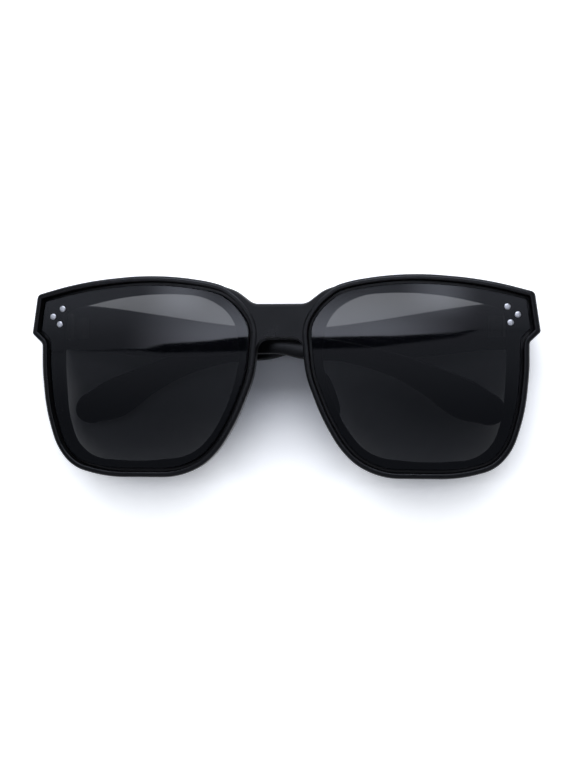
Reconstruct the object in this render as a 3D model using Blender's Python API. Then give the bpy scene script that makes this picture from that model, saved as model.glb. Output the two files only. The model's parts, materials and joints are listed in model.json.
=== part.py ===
"""Oversized fit-over sunglasses, lying folded on a table with the lenses facing up.

+X runs to the right of the front as it is looked at, +Y to the brow, +Z up and out of the lenses.
The pieces are a moulded front, two flat-fronted lenses held by three rivets each, two nose pads and two
arms on five-knuckle hinges. Left and right are the sides seen from the front. Lengths are in metres.
"""

import math

import bmesh
import bpy
from mathutils import Vector

MM = 0.001
RUNNING_GAP = 0.1 * MM
SEAT_GAP = 0.25 * MM
CUT_OVERRUN = 2.0 * MM

# The front: one moulding with two rims, a bridge and a corner block for each hinge
FRONT_WIDTH = 150.0 * MM
HALF_WIDTH = FRONT_WIDTH / 2
RIM_HEIGHT = 59.0 * MM
RIM_BOTTOM = -29.2 * MM
RIM_THICKNESS = 4.5 * MM
FACE_CURVE_RADIUS = 470.0 * MM
CURVE_STRIP = 6.0 * MM
RIM_FRONT_ROUND = 0.55 * MM
RIM_BACK_ROUND = 0.4 * MM
LIP_WIDTH = 1.5 * MM
POCKET_DEPTH = 2.75 * MM
LEAST_CORNER_RADIUS = 0.45 * MM
ARC_STEP = math.radians(11.0)
SIDE_USE_SHARE = 0.97

# Each corner of the eye outline is a share of half the front's width, a share of the rim's height over the
# rim's bottom, and a fillet radius as a share of the rim's height. It starts at the brow's outer corner.
EYE_CORNER_SHARES = (
    (0.979, 0.917, 0.029),
    (0.789, 0.980, 1.860),
    (0.476, 1.014, 1.530),
    (0.275, 0.972, 0.680),
    (0.213, 0.948, 0.203),
    (0.145, 0.881, 0.305),
    (0.081, 0.764, 0.203),
    (0.099, 0.507, 0.510),
    (0.160, 0.303, 1.020),
    (0.228, 0.150, 0.510),
    (0.291, 0.069, 0.305),
    (0.391, 0.002, 0.373),
    (0.691, -0.001, 0.710),
    (0.831, 0.046, 0.220),
    (0.898, 0.146, 0.322),
    (0.944, 0.332, 0.930),
    (0.959, 0.537, 1.020),
    (0.959, 0.669, 0.027),
    (1.002, 0.720, 0.020),
)
# The window through the ledge behind the lens, in the same shares
WINDOW_CORNER_SHARES = (
    (0.866, 0.868, 0.060),
    (0.560, 0.922, 1.500),
    (0.300, 0.905, 0.350),
    (0.178, 0.800, 0.220),
    (0.160, 0.600, 0.400),
    (0.192, 0.400, 0.900),
    (0.262, 0.230, 0.500),
    (0.345, 0.105, 0.250),
    (0.560, 0.076, 1.200),
    (0.800, 0.095, 0.200),
    (0.858, 0.300, 0.600),
    (0.872, 0.560, 1.200),
)

# The bridge between the rims: its right half from the root up over the shoulder, and the arch under it, in the
# same shares
BRIDGE_CORNER_SHARES = (
    (0.1333, 0.5797, 0.008),
    (0.2267, 0.9508, 0.008),
    (0.1693, 0.9263, 0.1695),
    (0.1027, 0.8610, 0.0847),
)
ARCH_CORNER_SHARES = (
    (0.0987, 0.6136, 0.008),
    (0.0787, 0.6949, 0.0576),
)
BRIDGE_RECESS = 0.35 * MM
BRIDGE_TOP_ROUND = 0.9 * MM
ARCH_BACK_DROP = 0.55 * MM

# The lenses
LENS_INSET = 2.35 * MM
LENS_RECESS = 0.7 * MM
LENS_THICKNESS = 1.8 * MM
LENS_BEVEL = 0.35 * MM

# The three rivets that hold each lens at its outer corner, as shares of half the front's width and of the
# rim's height over the rim's bottom
RIVET_SHARES = ((0.8733, 0.8441), (0.9133, 0.8051), (0.8853, 0.7661))
RIVET_HEAD_RADIUS = 0.92 * MM
RIVET_HEAD_HEIGHT = 0.38 * MM
RIVET_HEAD_ROUND = 0.3 * MM
RIVET_SHANK_RADIUS = 0.5 * MM
RIVET_SHANK_LENGTH = 3.0 * MM
RIVET_SIDES = 16
RIVET_HEAD_GAP = 0.06 * MM

# The nose pads behind the rims' nose sides, from their top to their foot in the same shares
PAD_TOP_SHARES = (0.1250, 0.5494)
PAD_FOOT_SHARES = (0.2056, 0.2710)
PAD_WIDTH = 3.4 * MM
PAD_DEPTH = 6.4 * MM
PAD_LEAN = 2.6 * MM
PAD_SIDES = 28
PAD_SQUARENESS = 0.75
# Share of the depth, of the length, of the width and of the lean at each level
PAD_LEVEL_SHARES = (
    (0.0, 1.0, 1.0, 0.0),
    (0.25, 0.98, 0.88, 0.12),
    (0.55, 0.9, 0.74, 0.42),
    (0.8, 0.78, 0.6, 0.78),
    (0.94, 0.64, 0.42, 0.96),
    (1.0, 0.46, 0.2, 1.0),
)

# The hinges: a pin along Y at each outer corner, with three knuckles on the front and two on the arm
HINGE_INSET = 9.0 * MM
HINGE_X = HALF_WIDTH - HINGE_INSET
HINGE_CENTRE_SHARE = 0.75424
HINGE_CENTRE_Y = RIM_BOTTOM + HINGE_CENTRE_SHARE * RIM_HEIGHT
KNUCKLE_COUNT = 5
KNUCKLE_LENGTH = 1.3 * MM
KNUCKLE_RADIUS = 1.35 * MM
BORE_RADIUS = 0.68 * MM
SCREW_RADIUS = 0.6 * MM
SCREW_HEAD_RADIUS = 1.15 * MM
SCREW_HEAD_HEIGHT = 0.7 * MM
SCREW_TIP = 0.5 * MM
SLOT_WIDTH = 0.35 * MM
SLOT_DEPTH = 0.35 * MM
HINGE_SIDES = 24
LEAF_THICKNESS = 1.0 * MM
FINGER_INSET = 0.03 * MM
LEAF_END_GAP = 0.5 * MM
ARM_LEAF_LENGTH = 5.4 * MM
LEAF_RIVET_RADIUS = 0.45 * MM
LEAF_RIVET_HEAD_RADIUS = 0.8 * MM
LEAF_RIVET_HEAD_HEIGHT = 0.25 * MM
LEAF_RIVET_LENGTH = 2.6 * MM
LEAF_RIVET_OFFSET_Y = 1.7 * MM
ARM_RIVET_REACH = 3.6 * MM

# The corner blocks that carry the hinges stand behind the rim, and the arms' roots turn behind them
BLOCK_GAP = 0.15 * MM
BLOCK_BELOW_HINGE = 6.7 * MM
BLOCK_ABOVE_HINGE = 7.1 * MM
BLOCK_FRONT_INSET = 3.2 * MM
BLOCK_BACK_INSET = 3.3 * MM
BLOCK_REACH = 2.816 * MM
BLOCK_ROUND = 1.2 * MM
ARM_ROOT_GAP = 0.2 * MM

# The arms, stored folded: the left one lies next to the front and the right one behind it
ARM_INNER_OFFSET = 1.5 * MM
ARM_ROOT = -2.5 * MM
ARM_ROOT_THICKNESS = 4.2 * MM
ARM_TIP_THICKNESS = 2.1 * MM
ARM_EDGE = 0.7 * MM
ARM_STATIONS = 30
ARM_END_RADIUS = 5.6 * MM
ARM_ROOT_RELIEF = 0.25 * MM
END_TURNS = [math.radians(turn) for turn in (25, 45, 62, 76)]
END_SLIM_SHARE = 0.22
EDGE_SOFT_SHARE = 0.3
ARM_REACH_SHARE = 0.84
ARM_REACH = ARM_REACH_SHARE * FRONT_WIDTH
LEFT_FOLD_TILT = math.radians(-3.7)
# The right arm's flat outer side lies on the table, so its tilt follows from its taper
RIGHT_FOLD_TILT = math.atan((ARM_ROOT_THICKNESS - ARM_TIP_THICKNESS) / ARM_REACH)
ARM_ROOT_HALF_HEIGHT = 6.9 * MM
# Centre line of the arm's side view: share of the reach, height over the hinge as a share of the root's half
# height, and half height as a share of the same
ARM_LINE_SHARES = (
    (-0.020, 0.0286, 1.000),
    (0.064, -0.0274, 0.985),
    (0.214, -0.3624, 0.930),
    (0.357, -0.5274, 0.700),
    (0.476, -0.6274, 0.547),
    (0.524, -0.7024, 0.500),
    (0.571, -0.8764, 0.529),
    (0.675, -1.1114, 0.440),
    (0.778, -1.6074, 0.500),
    (0.865, -2.2974, 0.645),
    (0.944, -3.0974, 0.860),
    (1.000, -3.5174, 0.690),
)
# The crease on the arm's inner side: share of the reach, height share of the half height there, bevel depth
BEVEL_DEPTH = 1.0 * MM
CREASE_SHARES = (
    (-0.020, 0.700, 0.0),
    (0.090, 0.550, 0.0),
    (0.150, -0.250, 0.6),
    (0.230, -0.500, 1.0),
    (0.360, -0.100, 1.0),
    (0.480, 0.330, 0.8),
    (0.620, 0.500, 0.3),
    (0.760, 0.600, 0.0),
    (1.000, 0.600, 0.0),
)

# How far back the rim, the block, the pin and the leaf's end and rivets lie
CORNER_FALL = HALF_WIDTH * HALF_WIDTH / (2 * FACE_CURVE_RADIUS)
LEAF_X = HINGE_X + KNUCKLE_RADIUS
LEAF_FALL = LEAF_X * LEAF_X / (2 * FACE_CURVE_RADIUS)
BLOCK_BACK_DEPTH = CORNER_FALL + RIM_THICKNESS + BLOCK_REACH
HINGE_DEPTH = BLOCK_BACK_DEPTH + ARM_ROOT_GAP - ARM_ROOT
FRONT_LEAF_END_DEPTH = LEAF_FALL + RIM_THICKNESS + LEAF_END_GAP
FRONT_LEAF_BACKSET = HINGE_DEPTH - FRONT_LEAF_END_DEPTH
FRONT_RIVET_DEPTH = (FRONT_LEAF_END_DEPTH + BLOCK_BACK_DEPTH) / 2


def clear_scene():
    for thing in list(bpy.data.objects):
        bpy.data.objects.remove(thing, do_unlink=True)


def material(name, colour, roughness, metallic=0.0, alpha=1.0):
    made = bpy.data.materials.get(name) or bpy.data.materials.new(name)
    made.use_nodes = True
    shader = made.node_tree.nodes["Principled BSDF"]
    shader.inputs["Base Color"].default_value = (*colour, 1.0)
    shader.inputs["Roughness"].default_value = roughness
    shader.inputs["Metallic"].default_value = metallic
    shader.inputs["Alpha"].default_value = alpha
    made.diffuse_color = (*colour, alpha)
    return made


def corners_from_shares(shares):
    """Outline corners (x, y, radius) of the right eye from their shares of the front's sizes."""
    return [(x * HALF_WIDTH, RIM_BOTTOM + y * RIM_HEIGHT, r * RIM_HEIGHT) for x, y, r in shares]


def inset_corners(corners, inset):
    """The same corners with every side moved inwards by inset, and the fillets kept concentric."""
    moved = []
    count = len(corners)
    for index, (x, y, radius) in enumerate(corners):
        here = Vector((x, y))
        back = (here - Vector(corners[index - 1][:2])).normalized()
        ahead = (Vector(corners[(index + 1) % count][:2]) - here).normalized()
        side = Vector((-back.y, back.x)) + Vector((-ahead.y, ahead.x))
        side *= 1 / (1 + back.dot(ahead))
        turns_left = back.x * ahead.y - back.y * ahead.x > 0
        new_radius = radius - inset if turns_left else radius + inset
        moved.append((x + side.x * inset, y + side.y * inset, max(new_radius, LEAST_CORNER_RADIUS)))
    return moved


def rounded_outline(corners, counts=None):
    """Points along a polygon whose corners are replaced by arcs, counter-clockwise. Where two arcs would
    meet on a side, both are made smaller."""
    count = len(corners)
    places = [Vector(corner[:2]) for corner in corners]
    ahead = [(places[(index + 1) % count] - places[index]) for index in range(count)]
    inners = [ahead[index].angle(-ahead[index - 1]) for index in range(count)]
    runs = [corners[index][2] / math.tan(inners[index] / 2) for index in range(count)]
    sums = [runs[index] + runs[(index + 1) % count] for index in range(count)]
    fits = [SIDE_USE_SHARE * ahead[index].length / sums[index] for index in range(count)]
    points = []
    used = []
    for index, here in enumerate(places):
        run = runs[index] * min(1.0, fits[index], fits[index - 1])
        radius = run * math.tan(inners[index] / 2)
        to_back, to_ahead = -ahead[index - 1].normalized(), ahead[index].normalized()
        centre = here + (to_back + to_ahead).normalized() * (radius / math.sin(inners[index] / 2))
        start = here + to_back * run - centre
        end = here + to_ahead * run - centre
        first = math.atan2(start.y, start.x)
        sweep = (math.atan2(end.y, end.x) - first + math.pi) % math.tau - math.pi
        steps = counts[index] if counts else max(1, math.ceil(abs(sweep) / ARC_STEP))
        used.append(steps)
        for step in range(steps + 1):
            angle = first + sweep * step / steps
            points.append(centre + radius * Vector((math.cos(angle), math.sin(angle))))
    return points, used


def mirrored(points):
    """An outline turned over to the other side of the nose, still counter-clockwise."""
    return [Vector((-point.x, point.y)) for point in reversed(points)]


def face_curve(x):
    """How far the front falls back at a distance x from its middle."""
    return x * x / (2 * FACE_CURVE_RADIUS)


def ring_mesh(name, rings):
    """A closed body lofted through rings of equal length, with flat ends."""
    mesh = bmesh.new()
    made = [[mesh.verts.new(point) for point in ring] for ring in rings]
    size = len(made[0])
    for lower, upper in zip(made, made[1:]):
        for index in range(size):
            after = (index + 1) % size
            mesh.faces.new((lower[index], lower[after], upper[after], upper[index]))
    mesh.faces.new(list(reversed(made[0])))
    mesh.faces.new(made[-1])
    bmesh.ops.recalc_face_normals(mesh, faces=mesh.faces)
    data = bpy.data.meshes.new(name)
    mesh.to_mesh(data)
    mesh.free()
    return data


def add_object(name, data, finish=None):
    thing = bpy.data.objects.new(name, data)
    bpy.context.collection.objects.link(thing)
    if finish:
        data.materials.append(finish)
    return thing


def prism(name, outline, bottom, top):
    return add_object(name, ring_mesh(name, [[(p.x, p.y, z) for p in outline] for z in (bottom, top)]))


def turned(name, profile, sides, axis="Z"):
    """A body turned about an axis from (radius, height) pairs, bottom to top."""
    rings = []
    for radius, height in profile:
        ring = []
        for index in range(sides):
            angle = math.tau * (index + 1 / 2) / sides
            across, along = radius * math.cos(angle), radius * math.sin(angle)
            turns = {"X": (height, across, along), "Y": (along, height, across), "Z": (across, along, height)}
            ring.append(turns[axis])
        rings.append(ring)
    return add_object(name, ring_mesh(name, rings))


def combine(target, other, operation):
    """Cuts, or joins, one object with another and removes the other."""
    step = target.modifiers.new("combine", "BOOLEAN")
    step.operation = operation
    step.solver = "EXACT"
    step.object = other
    view = bpy.context.evaluated_depsgraph_get()
    result = bpy.data.meshes.new_from_object(target.evaluated_get(view))
    target.modifiers.remove(step)
    target.data = result
    bpy.data.objects.remove(other, do_unlink=True)


def edit(thing, work):
    mesh = bmesh.new()
    mesh.from_mesh(thing.data)
    work(mesh)
    mesh.to_mesh(thing.data)
    mesh.free()


def curve_to_face(thing):
    """Slices a flat piece of the front into strips and lets them fall back with the face curve."""

    def work(mesh):
        strips = math.ceil(HALF_WIDTH / CURVE_STRIP)
        for index in range(-strips, strips + 1):
            everything = mesh.verts[:] + mesh.edges[:] + mesh.faces[:]
            place = (index * CURVE_STRIP, 0, 0)
            bmesh.ops.bisect_plane(mesh, geom=everything, plane_co=place, plane_no=(1, 0, 0))
        bmesh.ops.triangulate(mesh, faces=mesh.faces)
        for vert in mesh.verts:
            vert.co.z -= face_curve(vert.co.x)

    edit(thing, work)


def shade_round(thing, angle=math.radians(35)):
    thing.data.shade_smooth()
    thing.data.set_sharp_from_angle(angle=angle)


def interpolate(table, share, column):
    """A smooth value from a table of rows whose first entry is the share along the arm."""
    index = 0
    while index < len(table) - 2 and share > table[index + 1][0]:
        index += 1
    rows = [table[max(0, index - 1)], table[index], table[index + 1], table[min(len(table) - 1, index + 2)]]
    span = rows[2][0] - rows[1][0]
    part = min(1.0, max(0.0, (share - rows[1][0]) / span))

    def slope(low, high):
        return (high[column] - low[column]) / (high[0] - low[0]) * span if high[0] != low[0] else 0.0

    first, last = slope(rows[0], rows[2]), slope(rows[1], rows[3])
    a, b = rows[1][column], rows[2][column]
    square, cube = part * part, part * part * part
    return (2 * cube - 3 * square + 1) * a + (cube - 2 * square + part) * first + (3 * square - 2 * cube) * b + (
        cube - square
    ) * last


def eye_rings(levels):
    """Rings of the right eye outline at (inset, z) levels, all with the same number of points."""
    corners = corners_from_shares(EYE_CORNER_SHARES)
    counts = rounded_outline(corners)[1]
    rings = []
    for inset, z in levels:
        outline = rounded_outline(inset_corners(corners, inset), counts)[0]
        rings.append([(p.x, p.y, z) for p in outline])
    return rings


def mirror_rings(rings):
    return [[(-x, y, z) for x, y, z in reversed(ring)] for ring in rings]


def bridge_rings():
    """The bridge as three rings: the rounded front edge, the front and the back with its lower arch."""

    def outline(drop, lower_top):
        root, *over = corners_from_shares(BRIDGE_CORNER_SHARES)
        half = [root] + [(x, y - lower_top, r) for x, y, r in over]
        arch = [(x, y - drop, r) for x, y, r in corners_from_shares(ARCH_CORNER_SHARES)]
        left = [(-x, y, r) for x, y, r in reversed(half)]
        left_arch = [(-x, y, r) for x, y, r in arch]
        return half + left + left_arch + list(reversed(arch))

    counts = rounded_outline(outline(0, 0))[1]
    levels = (
        (0, BRIDGE_TOP_ROUND, -BRIDGE_RECESS),
        (0, 0, -BRIDGE_RECESS - BRIDGE_TOP_ROUND),
        (ARCH_BACK_DROP, 0, -RIM_THICKNESS),
    )
    return [[(p.x, p.y, z) for p in rounded_outline(outline(drop, low), counts)[0]] for drop, low, z in levels]


def corner_block(side):
    """The block behind the front's outer corner that carries the hinge, outside the face curve."""
    inner = HINGE_X + KNUCKLE_RADIUS + BLOCK_GAP
    front_depth = face_curve(HALF_WIDTH) + POCKET_DEPTH
    rings = []
    bottom, top = HINGE_CENTRE_Y - BLOCK_BELOW_HINGE, HINGE_CENTRE_Y + BLOCK_ABOVE_HINGE
    for depth, inset in ((front_depth, BLOCK_FRONT_INSET), (BLOCK_BACK_DEPTH, BLOCK_BACK_INSET)):
        outer = HALF_WIDTH - inset
        corners = [
            (inner, bottom, LEAST_CORNER_RADIUS),
            (outer, bottom, BLOCK_ROUND),
            (outer, top, BLOCK_ROUND),
            (inner, top, LEAST_CORNER_RADIUS),
        ]
        rings.append([(side * p.x, p.y, -depth) for p in rounded_outline(corners)[0]])
    return add_object("corner_block", ring_mesh("corner_block", rings))


def place_from_shares(shares):
    return Vector((shares[0] * HALF_WIDTH, RIM_BOTTOM + shares[1] * RIM_HEIGHT))


def rivet_places():
    return [place_from_shares(shares) for shares in RIVET_SHARES]


def hinge_rivet_places():
    return [HINGE_CENTRE_Y + sign * LEAF_RIVET_OFFSET_Y for sign in (-1, 1)]


def front_frame(finish):
    """Both rims, the bridge and the corner blocks, in one moulding."""
    levels = (
        (RIM_BACK_ROUND, -RIM_THICKNESS),
        (0, -RIM_THICKNESS + RIM_BACK_ROUND),
        (0, -RIM_FRONT_ROUND),
        (RIM_FRONT_ROUND / 3, -RIM_FRONT_ROUND / 3),
        (RIM_FRONT_ROUND, 0),
    )
    rings = eye_rings(levels)
    frame = add_object("front_frame", ring_mesh("front_frame", rings), finish)
    combine(frame, add_object("left_rim", ring_mesh("left_rim", mirror_rings(rings))), "UNION")
    combine(frame, add_object("bridge", ring_mesh("bridge", bridge_rings())), "UNION")
    pocket = eye_rings(((LIP_WIDTH, -POCKET_DEPTH), (LIP_WIDTH, CUT_OVERRUN)))
    window = rounded_outline(corners_from_shares(WINDOW_CORNER_SHARES))[0]
    for cutter in (pocket, mirror_rings(pocket)):
        combine(frame, add_object("pocket", ring_mesh("pocket", cutter)), "DIFFERENCE")
    for outline in (window, mirrored(window)):
        combine(frame, prism("window", outline, -RIM_THICKNESS - CUT_OVERRUN, CUT_OVERRUN), "DIFFERENCE")
    curve_to_face(frame)
    for side in (-1, 1):
        combine(frame, corner_block(side), "UNION")
    for side in (-1, 1):
        for x, y in rivet_places():
            top = -POCKET_DEPTH - face_curve(x) + CUT_OVERRUN
            bottom = -LENS_RECESS - RIVET_SHANK_LENGTH - face_curve(x) - SEAT_GAP
            hole_radius = RIVET_SHANK_RADIUS + RUNNING_GAP
            hole = turned("hole", ((hole_radius, bottom), (hole_radius, top)), RIVET_SIDES)
            hole.location = (side * x, y, 0)
            combine(frame, hole, "DIFFERENCE")
        for y in hinge_rivet_places():
            wall = HINGE_X + KNUCKLE_RADIUS + BLOCK_GAP
            deep = HINGE_X + KNUCKLE_RADIUS - LEAF_THICKNESS + LEAF_RIVET_LENGTH + SEAT_GAP
            radius = LEAF_RIVET_RADIUS + RUNNING_GAP
            hole = turned("hole", ((radius, side * (wall - CUT_OVERRUN)), (radius, side * deep)), RIVET_SIDES, "X")
            hole.location = (0, y, -FRONT_RIVET_DEPTH)
            combine(frame, hole, "DIFFERENCE")
    shade_round(frame)
    return frame


def lens(name, side, finish):
    """A flat-fronted lens with a bevelled edge and three rivet holes, curved with the front."""
    back = -LENS_RECESS - LENS_THICKNESS
    rings = eye_rings(
        (
            (LENS_INSET, back),
            (LENS_INSET, -LENS_RECESS - LENS_BEVEL),
            (LENS_INSET + LENS_BEVEL, -LENS_RECESS),
        )
    )
    if side < 0:
        rings = mirror_rings(rings)
    pane = add_object(name, ring_mesh(name, rings), finish)
    for x, y in rivet_places():
        hole_radius = RIVET_SHANK_RADIUS + RUNNING_GAP
        hole = turned("hole", ((hole_radius, back - CUT_OVERRUN), (hole_radius, CUT_OVERRUN)), RIVET_SIDES)
        hole.location = (side * x, y, 0)
        combine(pane, hole, "DIFFERENCE")
    curve_to_face(pane)
    shade_round(pane)
    return pane


def corner_rivet(name, x, y, finish):
    """A round-headed rivet that passes through the lens into the front."""
    under = RIVET_HEAD_GAP
    flat = RIVET_HEAD_RADIUS - RIVET_HEAD_ROUND
    profile = (
        (RIVET_SHANK_RADIUS, -RIVET_SHANK_LENGTH),
        (RIVET_SHANK_RADIUS, under),
        (RIVET_HEAD_RADIUS, under),
        (RIVET_HEAD_RADIUS, RIVET_HEAD_HEIGHT - RIVET_HEAD_ROUND + under),
        (RIVET_HEAD_RADIUS - RIVET_HEAD_ROUND / 3, RIVET_HEAD_HEIGHT - RIVET_HEAD_ROUND / 3),
        (flat, RIVET_HEAD_HEIGHT),
    )
    rivet = turned(name, profile, RIVET_SIDES)
    slope = x / FACE_CURVE_RADIUS
    for vert in rivet.data.vertices:
        vert.co.z -= slope * vert.co.x
    rivet.location = (x, y, -LENS_RECESS - face_curve(x))
    rivet.data.materials.append(finish)
    shade_round(rivet)
    return rivet


def nose_pad(name, side, finish):
    """A soft fin on the back of the rim that leans away from the nose."""
    top, foot = place_from_shares(PAD_TOP_SHARES), place_from_shares(PAD_FOOT_SHARES)
    along = (foot - top).normalized()
    across = Vector((-along.y, along.x))
    rings = []
    for depth, length, width, lean in PAD_LEVEL_SHARES:
        ring = []
        for index in range(PAD_SIDES):
            angle = math.tau * index / PAD_SIDES
            run = math.copysign(abs(math.cos(angle)) ** PAD_SQUARENESS, math.cos(angle)) * length / 2
            wide = math.sin(angle) * width * PAD_WIDTH / 2 + lean * PAD_LEAN
            place = (top + foot) / 2 + (foot - top) * run + across * wide
            z = -RIM_THICKNESS - SEAT_GAP - depth * PAD_DEPTH - face_curve(place.x)
            ring.append((side * place.x, place.y, z))
        rings.append(ring)
    pad = add_object(name, ring_mesh(name, rings), finish)
    shade_round(pad)
    return pad


def knuckle_places(on_front):
    """The (bottom, top) heights of the knuckles of one leaf, every other one along the pin."""
    bottom = HINGE_CENTRE_Y - KNUCKLE_COUNT * KNUCKLE_LENGTH / 2
    places = []
    for index in range(KNUCKLE_COUNT):
        if (index % 2 == 0) == on_front:
            low = bottom + index * KNUCKLE_LENGTH
            places.append((low + RUNNING_GAP / 2, low + KNUCKLE_LENGTH - RUNNING_GAP / 2))
    return places


def box_object(name, low, high):
    (x0, y0, z0), (x1, y1, z1) = low, high
    rings = [[(x0, y0, z), (x1, y0, z), (x1, y1, z), (x0, y1, z)] for z in (z0, z1)]
    return add_object(name, ring_mesh(name, rings))


def leaf_comb(on_front, reach):
    """The leaf's flat outline: a plate with a finger for each of its knuckles."""
    half = KNUCKLE_COUNT * KNUCKLE_LENGTH / 2 - RUNNING_GAP / 2
    root = -(KNUCKLE_RADIUS + RUNNING_GAP)
    points = [(-reach, half), (-reach, -half)]
    for bottom, top in knuckle_places(on_front):
        low, high = bottom - HINGE_CENTRE_Y + FINGER_INSET, top - HINGE_CENTRE_Y - FINGER_INSET
        points += [(root, low), (0, low), (0, high), (root, high)]
    points.insert(2, (root, -half))
    points.append((root, half))
    return [Vector(point) for point in points]


def hinge_leaf(name, on_front, reach, rivet_reach, finish):
    """A leaf in its own frame: the pin along Y at the origin and the plate along -X, its back face at
    z = -KNUCKLE_RADIUS."""
    leaf = prism(name, leaf_comb(on_front, reach), -KNUCKLE_RADIUS, -KNUCKLE_RADIUS + LEAF_THICKNESS)
    for bottom, top in knuckle_places(on_front):
        profile = ((KNUCKLE_RADIUS, bottom - HINGE_CENTRE_Y), (KNUCKLE_RADIUS, top - HINGE_CENTRE_Y))
        combine(leaf, turned("knuckle", profile, HINGE_SIDES, "Y"), "UNION")
    length = KNUCKLE_COUNT * KNUCKLE_LENGTH + CUT_OVERRUN
    combine(leaf, turned("bore", ((BORE_RADIUS, -length), (BORE_RADIUS, length)), HINGE_SIDES, "Y"), "DIFFERENCE")
    for y in hinge_rivet_places():
        radius = LEAF_RIVET_RADIUS + RUNNING_GAP
        hole = turned("hole", ((radius, -KNUCKLE_RADIUS - CUT_OVERRUN), (radius, CUT_OVERRUN)), RIVET_SIDES)
        hole.location = (-rivet_reach, y - HINGE_CENTRE_Y, 0)
        combine(leaf, hole, "DIFFERENCE")
    leaf.data.materials.append(finish)
    shade_round(leaf)
    return leaf


def leaf_rivet(name, finish):
    """A rivet of a leaf, in the leaf's own frame, with its axis at the origin."""
    top = -KNUCKLE_RADIUS + LEAF_THICKNESS + RIVET_HEAD_GAP
    profile = (
        (LEAF_RIVET_RADIUS, top - RIVET_HEAD_GAP - LEAF_RIVET_LENGTH),
        (LEAF_RIVET_RADIUS, top),
        (LEAF_RIVET_HEAD_RADIUS, top),
        (LEAF_RIVET_HEAD_RADIUS * 0.8, top + LEAF_RIVET_HEAD_HEIGHT),
    )
    made = turned(name, profile, RIVET_SIDES)
    made.data.materials.append(finish)
    shade_round(made)
    return made


def hinge_screw(name, finish):
    """The screw that is the hinge's pin, head to the brow."""
    half = KNUCKLE_COUNT * KNUCKLE_LENGTH / 2
    top = half + RUNNING_GAP
    profile = (
        (SCREW_RADIUS * 0.7, -half - SCREW_TIP),
        (SCREW_RADIUS, -half - SCREW_TIP / 2),
        (SCREW_RADIUS, top),
        (SCREW_HEAD_RADIUS, top),
        (SCREW_HEAD_RADIUS, top + SCREW_HEAD_HEIGHT * 0.7),
        (SCREW_HEAD_RADIUS * 0.85, top + SCREW_HEAD_HEIGHT),
    )
    screw = turned(name, profile, HINGE_SIDES, "Y")
    low = (-SCREW_HEAD_RADIUS - CUT_OVERRUN, top + SCREW_HEAD_HEIGHT - SLOT_DEPTH, -SLOT_WIDTH / 2)
    high = (SCREW_HEAD_RADIUS + CUT_OVERRUN, top + SCREW_HEAD_HEIGHT + CUT_OVERRUN, SLOT_WIDTH / 2)
    combine(screw, box_object("slot", low, high), "DIFFERENCE")
    screw.data.materials.append(finish)
    shade_round(screw)
    return screw


def arm_thickness(reach):
    """The arm's thickness at a distance from the pin, so that its outer side is one plane."""
    return ARM_ROOT_THICKNESS + (ARM_TIP_THICKNESS - ARM_ROOT_THICKNESS) * reach / ARM_REACH


def arm_stations():
    """Centre, half height, crease height, bevel depth, slimming of the end and edge radius along the arm."""
    first = ARM_ROOT / ARM_REACH
    stations = []
    for index in range(ARM_STATIONS):
        share = first + (1 - first) * index / (ARM_STATIONS - 1)
        height = HINGE_CENTRE_Y + interpolate(ARM_LINE_SHARES, share, 1) * ARM_ROOT_HALF_HEIGHT
        centre = Vector((share * ARM_REACH, height))
        half = interpolate(ARM_LINE_SHARES, share, 2) * ARM_ROOT_HALF_HEIGHT
        crease = interpolate(CREASE_SHARES, share, 1)
        bevel = max(0.0, interpolate(CREASE_SHARES, share, 2)) * BEVEL_DEPTH
        stations.append((centre, half, crease, bevel, 0.0, ARM_EDGE))
    ahead = (stations[-1][0] - stations[-2][0]).normalized()
    centre, half, crease, bevel = stations[-1][:4]
    for turn in END_TURNS:
        slim = math.cos(turn)
        place = centre + ahead * ARM_END_RADIUS * math.sin(turn)
        sink = ARM_TIP_THICKNESS * (1 - slim) * END_SLIM_SHARE
        stations.append((place, half * slim, crease, bevel, sink, ARM_EDGE * (1 + slim) / 2))
    return stations


def arm_mesh(name):
    """The arm in its own frame: the hinge pin along Y at the origin, the arm along +X, its inner side at
    z = -ARM_INNER_OFFSET and its outer side below that."""
    stations = arm_stations()
    rings = []
    for index, (centre, half, crease, bevel, sink, edge) in enumerate(stations):
        before = stations[max(0, index - 1)][0]
        after = stations[min(len(stations) - 1, index + 1)][0]
        tangent = (after - before).normalized() if index else Vector((1, 0))
        up = Vector((-tangent.y, tangent.x))
        soft = EDGE_SOFT_SHARE * edge
        outer_sink = sink if index else ARM_ROOT_RELIEF
        inner_side = (
            (-half, edge),
            (-half + soft, soft),
            (-half + edge, 0),
            (crease * (half - edge), 0),
            (half - edge, bevel),
            (half - soft, bevel + soft),
            (half, bevel + edge),
        )
        outer_side = (
            (half, edge),
            (half - soft, soft),
            (half - edge, 0),
            (-half + edge, 0),
            (-half + soft, soft),
            (-half, edge),
        )
        ring = []
        for rise, depth in inner_side:
            place = centre + up * rise
            ring.append((place.x, place.y, -ARM_INNER_OFFSET - sink - depth))
        for rise, depth in outer_side:
            place = centre + up * rise
            outside = -ARM_INNER_OFFSET - arm_thickness(place.x)
            ring.append((place.x, place.y, outside + outer_sink + depth))
        rings.append(ring)
    return ring_mesh(name, rings)


def arm(name, side, finish):
    data = arm_mesh(name)
    if side > 0:
        for vert in data.vertices:
            vert.co.x = -vert.co.x
        data.flip_normals()
    made = add_object(name, data, finish)
    hole_floor = -KNUCKLE_RADIUS + LEAF_THICKNESS - LEAF_RIVET_LENGTH - SEAT_GAP
    for y in hinge_rivet_places():
        radius = LEAF_RIVET_RADIUS + RUNNING_GAP
        hole = turned("hole", ((radius, hole_floor), (radius, 0)), RIVET_SIDES)
        hole.location = (-side * ARM_RIVET_REACH, y, 0)
        combine(made, hole, "DIFFERENCE")
    shade_round(made)
    return made


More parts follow.
